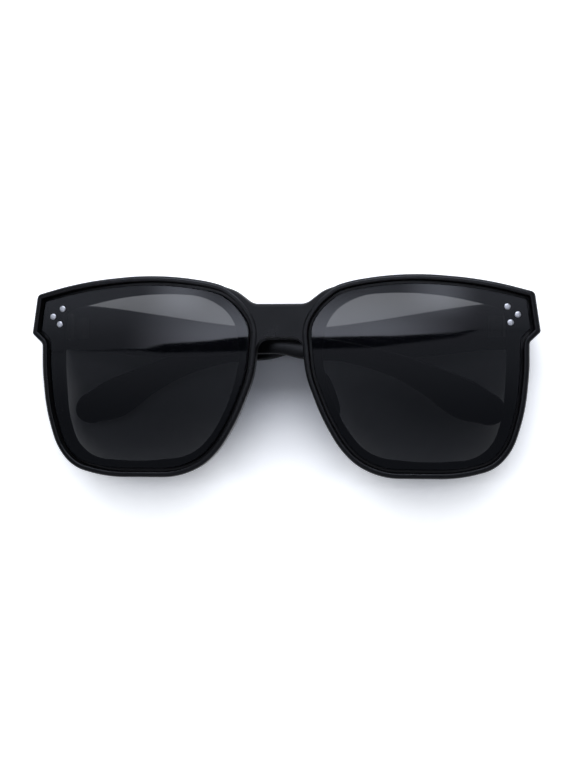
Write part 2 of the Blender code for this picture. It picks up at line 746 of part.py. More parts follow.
def table_depth():
    """How far the table lies behind the front's foremost plane: the right arm's outer side lies on it."""
    return HINGE_DEPTH + (ARM_INNER_OFFSET + ARM_ROOT_THICKNESS) * math.cos(RIGHT_FOLD_TILT)


def front_middle():
    """The height of the middle of the front over the line that the outlines are measured from."""
    heights = [point.y for point in rounded_outline(corners_from_shares(EYE_CORNER_SHARES))[0]]
    return (max(heights) + min(heights)) / 2


def mirror_side(thing):
    """Turns a piece made for one side over to the other."""
    for vert in thing.data.vertices:
        vert.co.x = -vert.co.x
    thing.data.flip_normals()


def build():
    clear_scene()
    plastic = material("black_frame_plastic", (0.012, 0.012, 0.014), 0.38)
    arm_plastic = material("black_arm_plastic", (0.014, 0.014, 0.016), 0.30)
    smoke = material("smoke_lens", (0.02, 0.022, 0.027), 0.05, 0.0, 0.9)
    steel = material("bright_steel", (0.78, 0.78, 0.80), 0.22, 1.0)
    rubber = material("nose_pad_rubber", (0.016, 0.016, 0.018), 0.55)

    datum = bpy.data.objects.new("front_datum", None)
    bpy.context.collection.objects.link(datum)
    datum.location = (0, -front_middle(), table_depth())

    front = [front_frame(plastic)]
    for side, word in ((-1, "left"), (1, "right")):
        front.append(lens(f"lens_{word}", side, smoke))
        for index, (x, y) in enumerate(rivet_places(), 1):
            front.append(corner_rivet(f"corner_rivet_{word}_{index}", side * x, y, steel))
        front.append(nose_pad(f"nose_pad_{word}", side, rubber))
    for thing in front:
        thing.parent = datum

    for side, word, tilt in ((-1, "left", LEFT_FOLD_TILT), (1, "right", RIGHT_FOLD_TILT)):
        pin = bpy.data.objects.new(f"hinge_axis_{word}", None)
        bpy.context.collection.objects.link(pin)
        pin.parent = datum
        pin.location = (side * HINGE_X, 0, -HINGE_DEPTH)
        folded = bpy.data.objects.new(f"fold_{word}", None)
        bpy.context.collection.objects.link(folded)
        folded.parent = pin
        folded.rotation_euler = (0, -side * tilt, 0)

        blade = arm(f"arm_{word}", side, arm_plastic)
        blade.parent = folded

        rivet_reach = HINGE_DEPTH - FRONT_RIVET_DEPTH
        arm_leaf = hinge_leaf(f"arm_hinge_leaf_{word}", False, ARM_LEAF_LENGTH, ARM_RIVET_REACH, steel)
        front_leaf = hinge_leaf(f"front_hinge_leaf_{word}", True, FRONT_LEAF_BACKSET, rivet_reach, steel)
        mirror_side(arm_leaf if side < 0 else front_leaf)
        for thing, holder, turn in ((arm_leaf, folded, 0), (front_leaf, pin, -side * math.pi / 2)):
            thing.parent = holder
            thing.location = (0, HINGE_CENTRE_Y, 0)
            thing.rotation_euler = (0, turn, 0)
        for index, y in enumerate(hinge_rivet_places(), 1):
            rivet = leaf_rivet(f"arm_hinge_rivet_{word}_{index}", steel)
            rivet.parent = folded
            rivet.location = (-side * ARM_RIVET_REACH, y, 0)
            rivet = leaf_rivet(f"front_hinge_rivet_{word}_{index}", steel)
            rivet.parent = pin
            rivet.location = (0, y, rivet_reach)
            rivet.rotation_euler = (0, -side * math.pi / 2, 0)
        screw = hinge_screw(f"hinge_screw_{word}", steel)
        screw.parent = pin
        screw.location = (0, HINGE_CENTRE_Y, 0)


build()
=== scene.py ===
"""The finished look of folded fit-over sunglasses: moulded front, smoke lenses, riveted corners, arms,
hinges, nose pads and the table they lie on.

Lengths are in metres. +X runs to the right of the front, +Y to the brow and +Z out of the lenses. The front's
sizes are measured from its datum: the middle of the bridge, on the foremost plane of the front.
"""

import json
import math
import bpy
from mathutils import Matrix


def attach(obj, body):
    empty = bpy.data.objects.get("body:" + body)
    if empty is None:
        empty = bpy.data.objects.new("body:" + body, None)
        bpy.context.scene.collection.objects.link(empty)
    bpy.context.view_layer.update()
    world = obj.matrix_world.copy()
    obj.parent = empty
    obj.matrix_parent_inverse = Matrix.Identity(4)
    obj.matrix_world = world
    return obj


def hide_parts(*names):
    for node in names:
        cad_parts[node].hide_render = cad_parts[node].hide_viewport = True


bl_info = {
    "name": "Fit-over sunglasses",
    "version": (1, 0, 0),
    "blender": (4, 5, 0),
    "location": "View3D > Sidebar > Sunglasses",
    "description": "Builds the finished pieces of folded fit-over sunglasses and their table",
    "category": "Object",
}

import bmesh
import bpy
from bpy.props import FloatProperty, FloatVectorProperty, PointerProperty
from bpy.types import Operator, Panel, PropertyGroup
from mathutils import Euler, Matrix, Vector

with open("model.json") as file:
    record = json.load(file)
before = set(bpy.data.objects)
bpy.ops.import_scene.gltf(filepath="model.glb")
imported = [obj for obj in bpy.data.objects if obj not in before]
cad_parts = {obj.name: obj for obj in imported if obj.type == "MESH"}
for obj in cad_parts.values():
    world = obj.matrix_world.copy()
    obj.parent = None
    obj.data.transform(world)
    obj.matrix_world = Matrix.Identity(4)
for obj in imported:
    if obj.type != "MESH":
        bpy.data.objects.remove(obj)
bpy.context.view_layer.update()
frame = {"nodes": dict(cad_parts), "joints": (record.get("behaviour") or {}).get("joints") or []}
RECORD_JOINTS = {joint["name"]: joint for joint in frame["joints"]}

MM = 0.001
SIDES = ((-1, "left"), (1, "right"))

# The front moulding
FRONT_WIDTH = 150.0 * MM
HALF_WIDTH = FRONT_WIDTH / 2
RIM_HEIGHT = 59.0 * MM
RIM_BOTTOM = -29.2 * MM

# The right hinge's place from the datum, and the datum's place in the world that follows from it
HINGE_X = HALF_WIDTH - 9.0 * MM
HINGE_HEIGHT_SHARE = 0.75424
HINGE_Y = RIM_BOTTOM + HINGE_HEIGHT_SHARE * RIM_HEIGHT
HINGE_DEPTH = 16.0 * MM
RIGHT_PIN = Vector(RECORD_JOINTS["right_arm_hinge"]["pos_m"])
DATUM = Vector((0, RIGHT_PIN.y - HINGE_Y, RIGHT_PIN.z + HINGE_DEPTH))

# The rim's section, from the datum's plane backwards and from its outer edge inwards
RIM_THICKNESS = 4.5 * MM
FACE_CURVE_RADIUS = 470.0 * MM
POCKET_DEPTH = 2.75 * MM
CHANNEL_DEPTH = 3.6 * MM
LIP_WIDTH = 1.6 * MM
LIP_ROUND = 0.85 * MM
LIP_INNER_ROUND = 0.28 * MM
POCKET_FILLET = 0.15 * MM
WINDOW_ROUND = 0.35 * MM
BACK_ROUND = 0.45 * MM
LEDGE_SLOPE = 0.22 * MM
BACK_INSET_SHARE = 1.1
EYE_CENTRE = Vector((39.0 * MM, 0.5 * MM))

# How finely the outlines and edges are stepped, and what counts as a wide flat face
QUARTER_TURN = 90.0
ARC_STEP = math.radians(3.0)
STRAIGHT_STEP = 1.3 * MM
EDGE_STEPS = 5
WINDOW_EDGE_STEPS = 4
FLAT_LOOP_SHARES = (0.08, 0.36, 0.64, 0.92)
SIDE_USE_SHARE = 0.97
LEAST_CORNER_RADIUS = 0.45 * MM
MERGE_GAP = MM / 1000
PARALLEL_SIDES = 1e-12
SIDE_END_SLACK = 1e-6
WIDE_FACE = 6.0 * MM * MM
WIDE_FACE_CORNERS = 6

# Corners of the eye outline: share of half the front's width, share of the rim's height over its bottom and
# fillet radius as a share of the rim's height, from the brow's outer corner round the nose side
EYE_CORNER_SHARES = (
    (0.979, 0.917, 0.029),
    (0.789, 0.980, 1.860),
    (0.476, 1.014, 1.530),
    (0.275, 0.972, 0.680),
    (0.213, 0.948, 0.203),
    (0.145, 0.881, 0.305),
    (0.081, 0.764, 0.203),
    (0.099, 0.507, 0.510),
    (0.160, 0.303, 1.020),
    (0.228, 0.150, 0.510),
    (0.291, 0.069, 0.305),
    (0.391, 0.002, 0.373),
    (0.691, -0.001, 0.710),
    (0.831, 0.046, 0.220),
    (0.898, 0.146, 0.322),
    (0.944, 0.332, 0.930),
    (0.959, 0.537, 1.020),
    (0.959, 0.669, 0.027),
    (1.002, 0.720, 0.020),
)
WINDOW_CORNER_SHARES = (
    (0.866, 0.835, 0.080),
    (0.560, 0.925, 1.500),
    (0.300, 0.905, 0.350),
    (0.178, 0.800, 0.220),
    (0.160, 0.600, 0.400),
    (0.192, 0.400, 0.900),
    (0.262, 0.230, 0.500),
    (0.345, 0.105, 0.250),
    (0.560, 0.076, 1.200),
    (0.800, 0.095, 0.200),
    (0.858, 0.300, 0.600),
    (0.872, 0.560, 1.200),
)

# The bridge: its right half from the root up over the shoulder, and the arch under it, in the same shares
BRIDGE_CORNER_SHARES = (
    (0.1333, 0.5797, 0.008),
    (0.2267, 0.9508, 0.008),
    (0.1693, 0.9263, 0.1695),
    (0.1027, 0.8610, 0.0847),
)
ARCH_CORNER_SHARES = (
    (0.0987, 0.6136, 0.008),
    (0.0787, 0.6949, 0.0576),
)
BRIDGE_END_INSET = 0.9 * MM
BRIDGE_RECESS = 0.35 * MM
BRIDGE_CHAMFER = 0.8 * MM
ARCH_BACK_DROP = 0.55 * MM
ARCH_EDGE_ROUND = 0.2 * MM

# The bridge's front levels: the arch's drop in shares of its round, the top's drop in shares of the chamfer,
# and the depth in shares of the round and of the chamfer
BRIDGE_LEVEL_SHARES = (
    (-1.0, 1.0, 0.0, 0.0),
    (-0.3, 0.85, 0.3, 0.0),
    (0.0, 0.55, 1.0, 0.0),
    (0.0, 0.12, 0.0, 0.9),
    (0.0, 0.0, 0.0, 1.3),
)

# The corner blocks behind the outer corners; their plan is the steps round each corner and parts of each side
KNUCKLE_RADIUS = 1.35 * MM
BLOCK_GAP = 0.15 * MM
BLOCK_Y = (HINGE_Y - 6.7 * MM, HINGE_Y + 7.1 * MM)
BLOCK_OUTER = (HALF_WIDTH - 3.2 * MM, HALF_WIDTH - 3.3 * MM)
BLOCK_BACK_DEPTH = 13.3 * MM
BLOCK_ROUND = 1.2 * MM
BLOCK_EDGE_BEVEL = 0.3 * MM
BLOCK_PLAN = [(6, 4)] * 4

# The lenses
LENS_INSET = 2.65 * MM
LENS_RECESS = 0.7 * MM
LENS_THICKNESS = 1.8 * MM
LENS_BEVEL = 0.2 * MM
LENS_BEVEL_SHARES = ((0.12, 0.8), (0.8, 0.12))
LENS_RINGS = 22
LENS_FIRST_RING_SHARE = 0.995

# The corner rivets
RIVET_SHARES = ((0.8733, 0.8441), (0.9133, 0.8051), (0.8853, 0.7661))
RIVET_HEAD_RADIUS = 0.92 * MM
RIVET_HEAD_HEIGHT = 0.38 * MM
RIVET_HEAD_GAP = 0.06 * MM
RIVET_SHANK_RADIUS = 0.5 * MM
RIVET_SHANK_LENGTH = 3.0 * MM
RIVET_EDGE = 0.05 * MM
RIVET_SIDES = 48
RIVET_DOME_STEPS = 9
RIVET_DOME_FULLNESS = 0.45

# The arms
ARM_INNER_OFFSET = 1.5 * MM
ARM_ROOT = -2.5 * MM
ARM_ROOT_THICKNESS = 4.2 * MM
ARM_TIP_THICKNESS = 2.1 * MM
ARM_REACH = 126.0 * MM
ARM_EDGE = 0.7 * MM
ARM_END_RADIUS = 5.6 * MM
ARM_ROOT_RELIEF = 0.25 * MM
ARM_ROOT_HALF_HEIGHT = 6.9 * MM
ARM_STATIONS = 110
ARM_END_STATIONS = 14
ARM_END_TURN = math.radians(84.0)
ARM_END_SINK_SHARE = 0.22
EDGE_USE_SHARE = 0.9
BEVEL_HOLLOW = 1.4
BEVEL_LOOP_SHARES = (0.04, 0.25, 0.5, 0.75)
LEFT_FOLD_TILT = math.radians(-3.7)
RIGHT_FOLD_TILT = math.atan((ARM_ROOT_THICKNESS - ARM_TIP_THICKNESS) / ARM_REACH)

# Along the arm: share of its reach, then its middle line's height over the pin and its half height, both as
# shares of the half height at the root
ARM_LINE_SHARES = (
    (-0.020, 0.0286, 1.000),
    (0.064, -0.0274, 0.985),
    (0.214, -0.3624, 0.930),
    (0.357, -0.5274, 0.700),
    (0.476, -0.6274, 0.547),
    (0.524, -0.7024, 0.500),
    (0.571, -0.8764, 0.529),
    (0.675, -1.1114, 0.440),
    (0.778, -1.6074, 0.500),
    (0.865, -2.2974, 0.645),
    (0.944, -3.0974, 0.860),
    (1.000, -3.5174, 0.690),
)

# Along the arm: share of its reach, then where its inner bevel starts as a share of the half height, and the
# bevel's steepness
CREASE_SHARES = (
    (-0.020, 0.000, 0.00),
    (0.080, -0.150, 0.04),
    (0.150, -0.250, 0.14),
    (0.230, -0.480, 0.24),
    (0.340, -0.180, 0.36),
    (0.460, 0.330, 0.38),
    (0.620, 0.500, 0.20),
    (0.760, 0.600, 0.00),
    (1.000, 0.600, 0.00),
)

# The nose pads
PAD_TOP_SHARES = (0.1250, 0.5494)
PAD_FOOT_SHARES = (0.2056, 0.2710)
PAD_WIDTH = 3.4 * MM
PAD_DEPTH = 6.4 * MM
PAD_LEAN = 2.6 * MM
PAD_SEAT_GAP = 0.25 * MM
PAD_SIDES = 96
PAD_LEVELS = 24
PAD_SQUARENESS = 0.75

# The pads from seat to crown: share of their depth, then shares of their length, width and lean
PAD_LEVEL_SHARES = (
    (0.0, 1.0, 1.0, 0.0),
    (0.25, 0.98, 0.88, 0.12),
    (0.55, 0.9, 0.74, 0.42),
    (0.8, 0.78, 0.6, 0.78),
    (0.94, 0.64, 0.42, 0.96),
    (1.0, 0.46, 0.2, 1.0),
)

# The photograph's frame and camera
PHOTO_SIZE = (576, 768)
CAMERA_DISTANCE = 400.0 * MM
CAMERA_YAW = math.radians(5.93)
CAMERA_TILT = math.radians(0.193)
FOCAL_PIXELS = 1383.3
DATUM_PIXEL = (279.4, 378.05)
SENSOR_SIDE = 36.0
CLIP_START = 10.0 * MM

# The finishes: colours that aren't settings, the part of a pattern that a tint or a gloss uses, and the grain
RIVET_COLOUR = (0.95, 0.95, 0.96)
HINGE_COLOUR = (0.3, 0.29, 0.28)
PAD_COLOUR = (0.016, 0.016, 0.017)
PLASTIC_IOR = 1.42
LENS_IOR = 1.52
TINT_SPAN = (0.35, 0.65)
PATTERN_SPAN = (0.3, 0.7)
FINE_GRAIN = 0.01 * MM

# The table: its lift fades by ambient occlusion where the front hangs over it, which is a painted shade, and
# that painted shade has a reach, a lean to the brow and a soft edge
TABLE_SIZE = 60.0
TABLE_SINK = 0.02 * MM
TABLE_COLOUR = (0.9, 0.9, 0.9, 1)
GLOW_COLOUR = (0.96, 0.98, 1, 1)
WHITE = (1, 1, 1, 1)
PAINTED_SHADE_REACH = 40.0 * MM
PAINTED_SHADE_LEAN = math.radians(55.0)
PAINTED_SHADE_FADE = (0.48, 0.82, 0.0, 1.0)
PAINTED_SHADE_SAMPLES = 20

# The lamps: angles from straight up, across and towards the brow, half widths, and the share of a setting
LAMP_DISTANCE = 750.0 * MM
LAMPS = (
    ("brow_softbox", (0, 40), (30, 6), "brow_level", 1),
    ("high_softbox", (0, 54), (30, 8), "brow_level", 1 / 3),
    ("left_softbox", (-58, 10), (13, 11), "side_level", 1),
    ("right_softbox", (58, 10), (13, 11), "side_level", 1),
    ("front_softbox", (0, -42), (45, 20), "panel_level", 0.45),
)

# The two soft panels overhead: their height, the edges that face each other and their far edges, in distances
# from the middle of the table
PANEL_HEIGHT = 750.0 * MM
BROW_PANEL_EDGE = (
    (-0.600, 0.024),
    (-0.330, 0.0255),
    (-0.290, 0.0295),
    (-0.208, 0.0315),
    (-0.146, 0.0345),
    (-0.002, 0.034),
    (0.121, 0.035),
    (0.225, 0.038),
    (0.250, 0.0405),
    (0.500, 0.040),
)
ROOT_PANEL_EDGE = (
    (0.500, 0.040),
    (0.262, 0.040),
    (0.224, 0.034),
    (0.142, 0.029),
    (0.080, 0.025),
    (-0.146, 0.0225),
    (-0.290, 0.0215),
    (-0.340, 0.024),
    (-0.600, 0.024),
)
PANEL_FAR_EDGES = (0.17, -0.13)

# The light across the panels: each fade runs between two distances and has a level at each. The even light
# has two towards the brow, which add up. The middle and the glints each have one outwards and one towards the
# brow, which are multiplied.
EVEN_FADES = ((-0.04, 0.04, 0.2, 0.5), (0.03, 0.07, 0.0, 0.5))
PANEL_MIDDLE = -0.053
MIDDLE_FADES = ((0.33, 0.12, 0.0, 1.0), (0.078, 0.036, 0.1, 3.4))
GLINT_MIDDLE = -0.032
GLINT_SPREAD = 0.228
GLINT_FADES = ((0.078, 0.0, 0.0, 1.0), (0.046, 0.068, 0.0, 2.3))


class FinishSettings(PropertyGroup):
    """Colours and gloss of the finishes."""

    frame_colour: FloatVectorProperty(
        name="Frame colour",
        description="Colour of the moulded front and the arms",
        subtype="COLOR",
        default=(0.0035, 0.0035, 0.004),
        min=0.0,
        max=1.0,
    )
    frame_roughness: FloatProperty(
        name="Frame roughness",
        description="How matt the moulded front is",
        subtype="FACTOR",
        default=0.3,
        min=0.0,
        max=1.0,
    )
    arm_roughness: FloatProperty(
        name="Arm roughness",
        description="How matt the arms are",
        subtype="FACTOR",
        default=0.2,
        min=0.0,
        max=1.0,
    )
    lens_colour: FloatVectorProperty(
        name="Lens colour",
        description="Colour of the smoke tint",
        subtype="COLOR",
        default=(0.0012, 0.0018, 0.003),
        min=0.0,
        max=1.0,
    )
    lens_cover: FloatProperty(
        name="Lens cover",
        description="How much of what lies behind the lens the tint hides",
        subtype="FACTOR",
        default=0.7,
        min=0.0,
        max=1.0,
    )


class StageSettings(PropertyGroup):
    """Light and table."""

    world_level: FloatProperty(
        name="World level",
        description="Brightness of the even light from all sides",
        default=0.03,
        min=0.0,
    )
    brow_level: FloatProperty(
        name="Brow lamp level",
        description="Brightness of the main soft lamp on the brow side",
        default=6.4,
        min=0.0,
    )
    panel_level: FloatProperty(
        name="Panel level",
        description="Brightness of the soft panel that shows in the upper half of each lens",
        default=0.85,
        min=0.0,
    )
    side_level: FloatProperty(
        name="Side lamp level",
        description="Brightness of the small soft lamp at each side",
        default=0.6,
        min=0.0,
    )
    lamp_colour: FloatVectorProperty(
        name="Lamp colour",
        description="Colour of the lamps' cool daylight",
        subtype="COLOR",
        default=(0.8, 0.85, 1.0),
        min=0.0,
        max=1.0,
    )
    table_glow: FloatProperty(
        name="Table glow",
        description="How much the white table is lifted for the camera and in reflections",
        default=0.9,
        min=0.0,
    )


def deselect_all():
    bpy.ops.object.select_all(action="DESELECT")


def make_active(piece):
    deselect_all()
    piece.select_set(True)
    bpy.context.view_layer.objects.active = piece


def place_on_ring(piece, ring):
    """Moves the selected loop of points to a ring, each point to its own number."""
    mesh = bmesh.from_edit_mesh(piece.data)
    number = mesh.verts.layers.int["ring_number"]
    for vert in mesh.verts:
        if vert.select:
            vert.co = ring[vert[number]]
    bmesh.update_edit_mesh(piece.data)


def ring_loft(name, rings, closed=False):
    """A body extruded loop by loop through rings of equal length: with flat ends, or closed on itself."""
    deselect_all()
    bpy.ops.mesh.primitive_circle_add(vertices=len(rings[0]), radius=HALF_WIDTH)
    piece = bpy.context.object
    piece.name = name
    bpy.ops.object.mode_set(mode="EDIT")
    mesh = bmesh.from_edit_mesh(piece.data)
    number = mesh.verts.layers.int.new("ring_number")
    for index, vert in enumerate(mesh.verts):
        vert[number] = index
    bmesh.update_edit_mesh(piece.data)
    bpy.ops.mesh.select_all(action="SELECT")
    place_on_ring(piece, rings[0])
    if not closed:
        bpy.ops.mesh.edge_face_add()
    for ring in rings[1:]:
        bpy.ops.mesh.extrude_edges_indiv()
        place_on_ring(piece, ring)
    if closed:
        bpy.ops.mesh.extrude_edges_indiv()
        place_on_ring(piece, rings[0])
        bpy.ops.mesh.select_all(action="SELECT")
        bpy.ops.mesh.remove_doubles(threshold=MERGE_GAP)
    else:
        bpy.ops.mesh.edge_face_add()
    bpy.ops.mesh.select_all(action="SELECT")
    bpy.ops.mesh.normals_make_consistent(inside=False)
    bpy.ops.object.mode_set(mode="OBJECT")
    piece.data.attributes.remove(piece.data.attributes["ring_number"])
    return piece


def combine(target, other, operation):
    """Joins or cuts one piece with another, which is used up."""
    step = target.modifiers.new("combine", "BOOLEAN")
    step.operation = operation
    step.solver = "EXACT"
    step.object = other
    make_active(target)
    bpy.ops.object.modifier_apply(modifier=step.name)
    bpy.data.objects.remove(other, do_unlink=True)


def smooth(piece, degrees=30.0):
    """Shades a piece smooth, apart from its wide flat faces."""
    make_active(piece)
    bpy.ops.object.shade_smooth_by_angle(angle=math.radians(degrees))
    for face in piece.data.polygons:
        if len(face.vertices) > WIDE_FACE_CORNERS and face.area > WIDE_FACE:
            face.use_smooth = False


def corners_from_shares(shares):
    return [(x * HALF_WIDTH, RIM_BOTTOM + y * RIM_HEIGHT, r * RIM_HEIGHT) for x, y, r in shares]


def place_from_shares(shares):
    return Vector((shares[0] * HALF_WIDTH, RIM_BOTTOM + shares[1] * RIM_HEIGHT))


def inset_corners(corners, inset):
    """The corners with every side moved inwards and the fillets kept concentric."""
    moved = []
    count = len(corners)
    for index, (x, y, radius) in enumerate(corners):
        here = Vector((x, y))
        back = (here - Vector(corners[index - 1][:2])).normalized()
        ahead = (Vector(corners[(index + 1) % count][:2]) - here).normalized()
        side = Vector((-back.y, back.x)) + Vector((-ahead.y, ahead.x))
        side *= 1 / (1 + back.dot(ahead))
        turns_left = back.x * ahead.y - back.y * ahead.x > 0
        new_radius = radius - inset if turns_left else radius + inset
        moved.append((x + side.x * inset, y + side.y * inset, max(new_radius, LEAST_CORNER_RADIUS)))
    return moved


def rounded_outline(corners, plan=None):
    """Points along a polygon with rounded corners, counter-clockwise, and the plan of how many points each
    arc and each straight takes. Outlines made to one plan have their points side by side."""
    count = len(corners)
    places = [Vector(corner[:2]) for corner in corners]
    ahead = [places[(index + 1) % count] - places[index] for index in range(count)]
    inners = [ahead[index].angle(-ahead[index - 1]) for index in range(count)]
    runs = [corners[index][2] / math.tan(inners[index] / 2) for index in range(count)]
    used = [runs[index] + runs[(index + 1) % count] for index in range(count)]
    fits = [SIDE_USE_SHARE * ahead[index].length / used[index] for index in range(count)]
    runs = [runs[index] * min(1.0, fits[index], fits[index - 1]) for index in range(count)]
    points = []
    made_plan = []
    for index, here in enumerate(places):
        radius = runs[index] * math.tan(inners[index] / 2)
        to_back, to_ahead = -ahead[index - 1].normalized(), ahead[index].normalized()
        centre = here + (to_back + to_ahead).normalized() * (radius / math.sin(inners[index] / 2))
        start = here + to_back * runs[index] - centre
        end = here + to_ahead * runs[index] - centre
        first = math.atan2(start.y, start.x)
        sweep = (math.atan2(end.y, end.x) - first + math.pi) % math.tau - math.pi
        straight_end = places[(index + 1) % count] - to_ahead * runs[(index + 1) % count]
        straight = straight_end - (centre + end)
        if plan:
            steps, parts = plan[index]
        else:
            turn = abs(sweep)
            steps = max(2, math.ceil(turn / ARC_STEP), math.ceil(turn * radius / STRAIGHT_STEP))
            parts = max(1, math.ceil(straight.length / STRAIGHT_STEP))
        made_plan.append((steps, parts))
        for step in range(steps + 1):
            angle = first + sweep * step / steps
            points.append(centre + radius * Vector((math.cos(angle), math.sin(angle))))
        for part in range(1, parts):
            points.append(centre + end + straight * part / parts)
    return points, made_plan


EYE_CORNERS = corners_from_shares(EYE_CORNER_SHARES)
EYE_PLAN = rounded_outline(EYE_CORNERS)[1]
WINDOW_OUTLINE = rounded_outline(corners_from_shares(WINDOW_CORNER_SHARES))[0]


def window_reach(direction):
    """Distance from the eye's centre to the window's edge in a direction."""
    best = 0.0
    for index, here in enumerate(WINDOW_OUTLINE):
        start = WINDOW_OUTLINE[index - 1] - EYE_CENTRE
        span = here - EYE_CENTRE - start
        cross = direction.x * span.y - direction.y * span.x
        if abs(cross) < PARALLEL_SIDES:
            continue
        along = (start.x * span.y - start.y * span.x) / cross
        part = (start.x * direction.y - start.y * direction.x) / cross
        if -SIDE_END_SLACK <= part <= 1 + SIDE_END_SLACK and along > best:
            best = along
    return best


def face_curve(x):
    return x * x / (2 * FACE_CURVE_RADIUS)


def on_front(point, depth):
    """A point of the right side of the front at a depth behind its curved foremost surface."""
    return Vector((point.x, point.y, -depth - face_curve(point.x)))


def mirrored(rings):
    """Rings turned over from one side to the other."""
    return [[Vector((-p.x, p.y, p.z)) for p in reversed(ring)] for ring in rings]


def to_world(rings, side=1):
    """Rings of the right side from the front's datum to the world, turned over for the left side."""
    if side < 0:
        rings = mirrored(rings)
    return [[DATUM + p for p in ring] for ring in rings]


def eye_ring(inset, depth):
    return [on_front(p, depth) for p in rounded_outline(inset_corners(EYE_CORNERS, inset), EYE_PLAN)[0]]


def quarter_round(inset, depth, radius, start, end, steps=EDGE_STEPS):
    """(inset, depth) pairs round an edge whose centre is at (inset, depth), between two angles in degrees."""
    turns = [math.radians(start + (end - start) * step / steps) for step in range(steps + 1)]
    return [(inset + radius * math.cos(turn), depth + radius * math.sin(turn)) for turn in turns]


def rim_rings():
    """The rim's section as rings round the right eye: out over the lip, into the pocket, across the ledge,
    through the window and back."""
    lip = quarter_round(LIP_ROUND, LIP_ROUND, LIP_ROUND, 180, 270)
    inner = LIP_WIDTH - LIP_INNER_ROUND
    lip += quarter_round(inner, LIP_INNER_ROUND, LIP_INNER_ROUND, 270, 360)
    lip += [(LIP_WIDTH, CHANNEL_DEPTH - POCKET_FILLET), (LIP_WIDTH + POCKET_FILLET, CHANNEL_DEPTH)]
    lip += [(LENS_INSET - POCKET_FILLET, CHANNEL_DEPTH), (LENS_INSET, POCKET_DEPTH)]
    rings = [eye_ring(inset, depth) for inset, depth in lip]
    ledge_start = rings[-1]
    edge = []
    for point in ledge_start:
        direction = (Vector(point[:2]) - EYE_CENTRE).normalized()
        edge.append((direction, window_reach(direction)))

    def window_ring(outward, depth):
        return [on_front(EYE_CENTRE + direction * (reach + outward), depth) for direction, reach in edge]

    def between(start, end):
        return [[a.lerp(b, share) for a, b in zip(start, end)] for share in FLAT_LOOP_SHARES]

    ledge_end = window_ring(WINDOW_ROUND, POCKET_DEPTH + LEDGE_SLOPE)
    rings += between(ledge_start, ledge_end)
    steps = WINDOW_EDGE_STEPS
    window_front = POCKET_DEPTH + LEDGE_SLOPE + WINDOW_ROUND
    turns = quarter_round(WINDOW_ROUND, window_front, WINDOW_ROUND, 270, 180, steps)
    turns += quarter_round(WINDOW_ROUND, RIM_THICKNESS - WINDOW_ROUND, WINDOW_ROUND, 180, 90, steps)
    rings += [window_ring(outward, depth) for outward, depth in turns]
    rings += between(rings[-1], eye_ring(BACK_ROUND * BACK_INSET_SHARE, RIM_THICKNESS))
    outer = quarter_round(BACK_ROUND, RIM_THICKNESS - BACK_ROUND, BACK_ROUND, 90, 180, steps)
    rings += [eye_ring(inset, depth) for inset, depth in outer]
    return rings


def bridge_rings():
    """The bridge with its chamfered top edge and the arch beneath, from front to back."""

    def outline(drop, top_drop, plan=None):
        root, *over = corners_from_shares(BRIDGE_CORNER_SHARES)
        half = [root] + [(x, y - top_drop, r) for x, y, r in over]
        arch = [(x, y - drop, r) for x, y, r in corners_from_shares(ARCH_CORNER_SHARES)]
        corners = half + [(-x, y, r) for x, y, r in reversed(half)]
        corners += [(-x, y, r) for x, y, r in arch] + list(reversed(arch))
        return rounded_outline(corners, plan)

    plan = outline(0, 0)[1]
    levels = []
    for drop, top, round_share, chamfer_share in BRIDGE_LEVEL_SHARES:
        depth = BRIDGE_RECESS + round_share * ARCH_EDGE_ROUND + chamfer_share * BRIDGE_CHAMFER
        levels.append((drop * ARCH_EDGE_ROUND, top * BRIDGE_CHAMFER, depth))
    levels.append((ARCH_BACK_DROP, 0, RIM_THICKNESS - BACK_ROUND))
    levels.append((ARCH_BACK_DROP, BACK_ROUND, RIM_THICKNESS))
    rings = []
    for drop, top, depth in levels:
        rings.append([Vector((p.x, p.y, -depth)) for p in outline(drop, top, plan)[0]])
    return rings


def block_rings(side):
    """The block behind an outer corner, from the rim back to its bevelled end."""
    inner = HINGE_X + KNUCKLE_RADIUS + BLOCK_GAP
    front_depth = face_curve(HALF_WIDTH) + POCKET_DEPTH
    rings = []
    for depth, outer, edge in (
        (front_depth, BLOCK_OUTER[0], 0.0),
        (BLOCK_BACK_DEPTH - BLOCK_EDGE_BEVEL, BLOCK_OUTER[1], 0.0),
        (BLOCK_BACK_DEPTH, BLOCK_OUTER[1], BLOCK_EDGE_BEVEL),
    ):
        corners = [
            (inner + edge, BLOCK_Y[0] + edge, LEAST_CORNER_RADIUS),
            (outer - edge, BLOCK_Y[0] + edge, BLOCK_ROUND),
            (outer - edge, BLOCK_Y[1] - edge, BLOCK_ROUND),
            (inner + edge, BLOCK_Y[1] - edge, LEAST_CORNER_RADIUS),
        ]
        outline = rounded_outline(corners, BLOCK_PLAN)[0]
        rings.append([Vector((p.x, p.y, -depth)) for p in outline])
    return to_world(rings, side)


def interpolate(table, share, column):
    """A smooth value from a table whose rows start with the share along the arm."""
    index = 0
    while index < len(table) - 2 and share > table[index + 1][0]:
        index += 1
    rows = [table[max(0, index - 1)], table[index], table[index + 1], table[min(len(table) - 1, index + 2)]]
    span = rows[2][0] - rows[1][0]
    part = min(1.0, max(0.0, (share - rows[1][0]) / span))

    def slope(low, high):
        return (high[column] - low[column]) / (high[0] - low[0]) * span if high[0] != low[0] else 0.0

    first, last = slope(rows[0], rows[2]), slope(rows[1], rows[3])
    square, cube = part * part, part * part * part
    start = (2 * cube - 3 * square + 1) * rows[1][column] + (cube - 2 * square + part) * first
    return start + (3 * square - 2 * cube) * rows[2][column] + (cube - square) * last


def arm_thickness(reach):
    return ARM_ROOT_THICKNESS + (ARM_TIP_THICKNESS - ARM_ROOT_THICKNESS) * reach / ARM_REACH


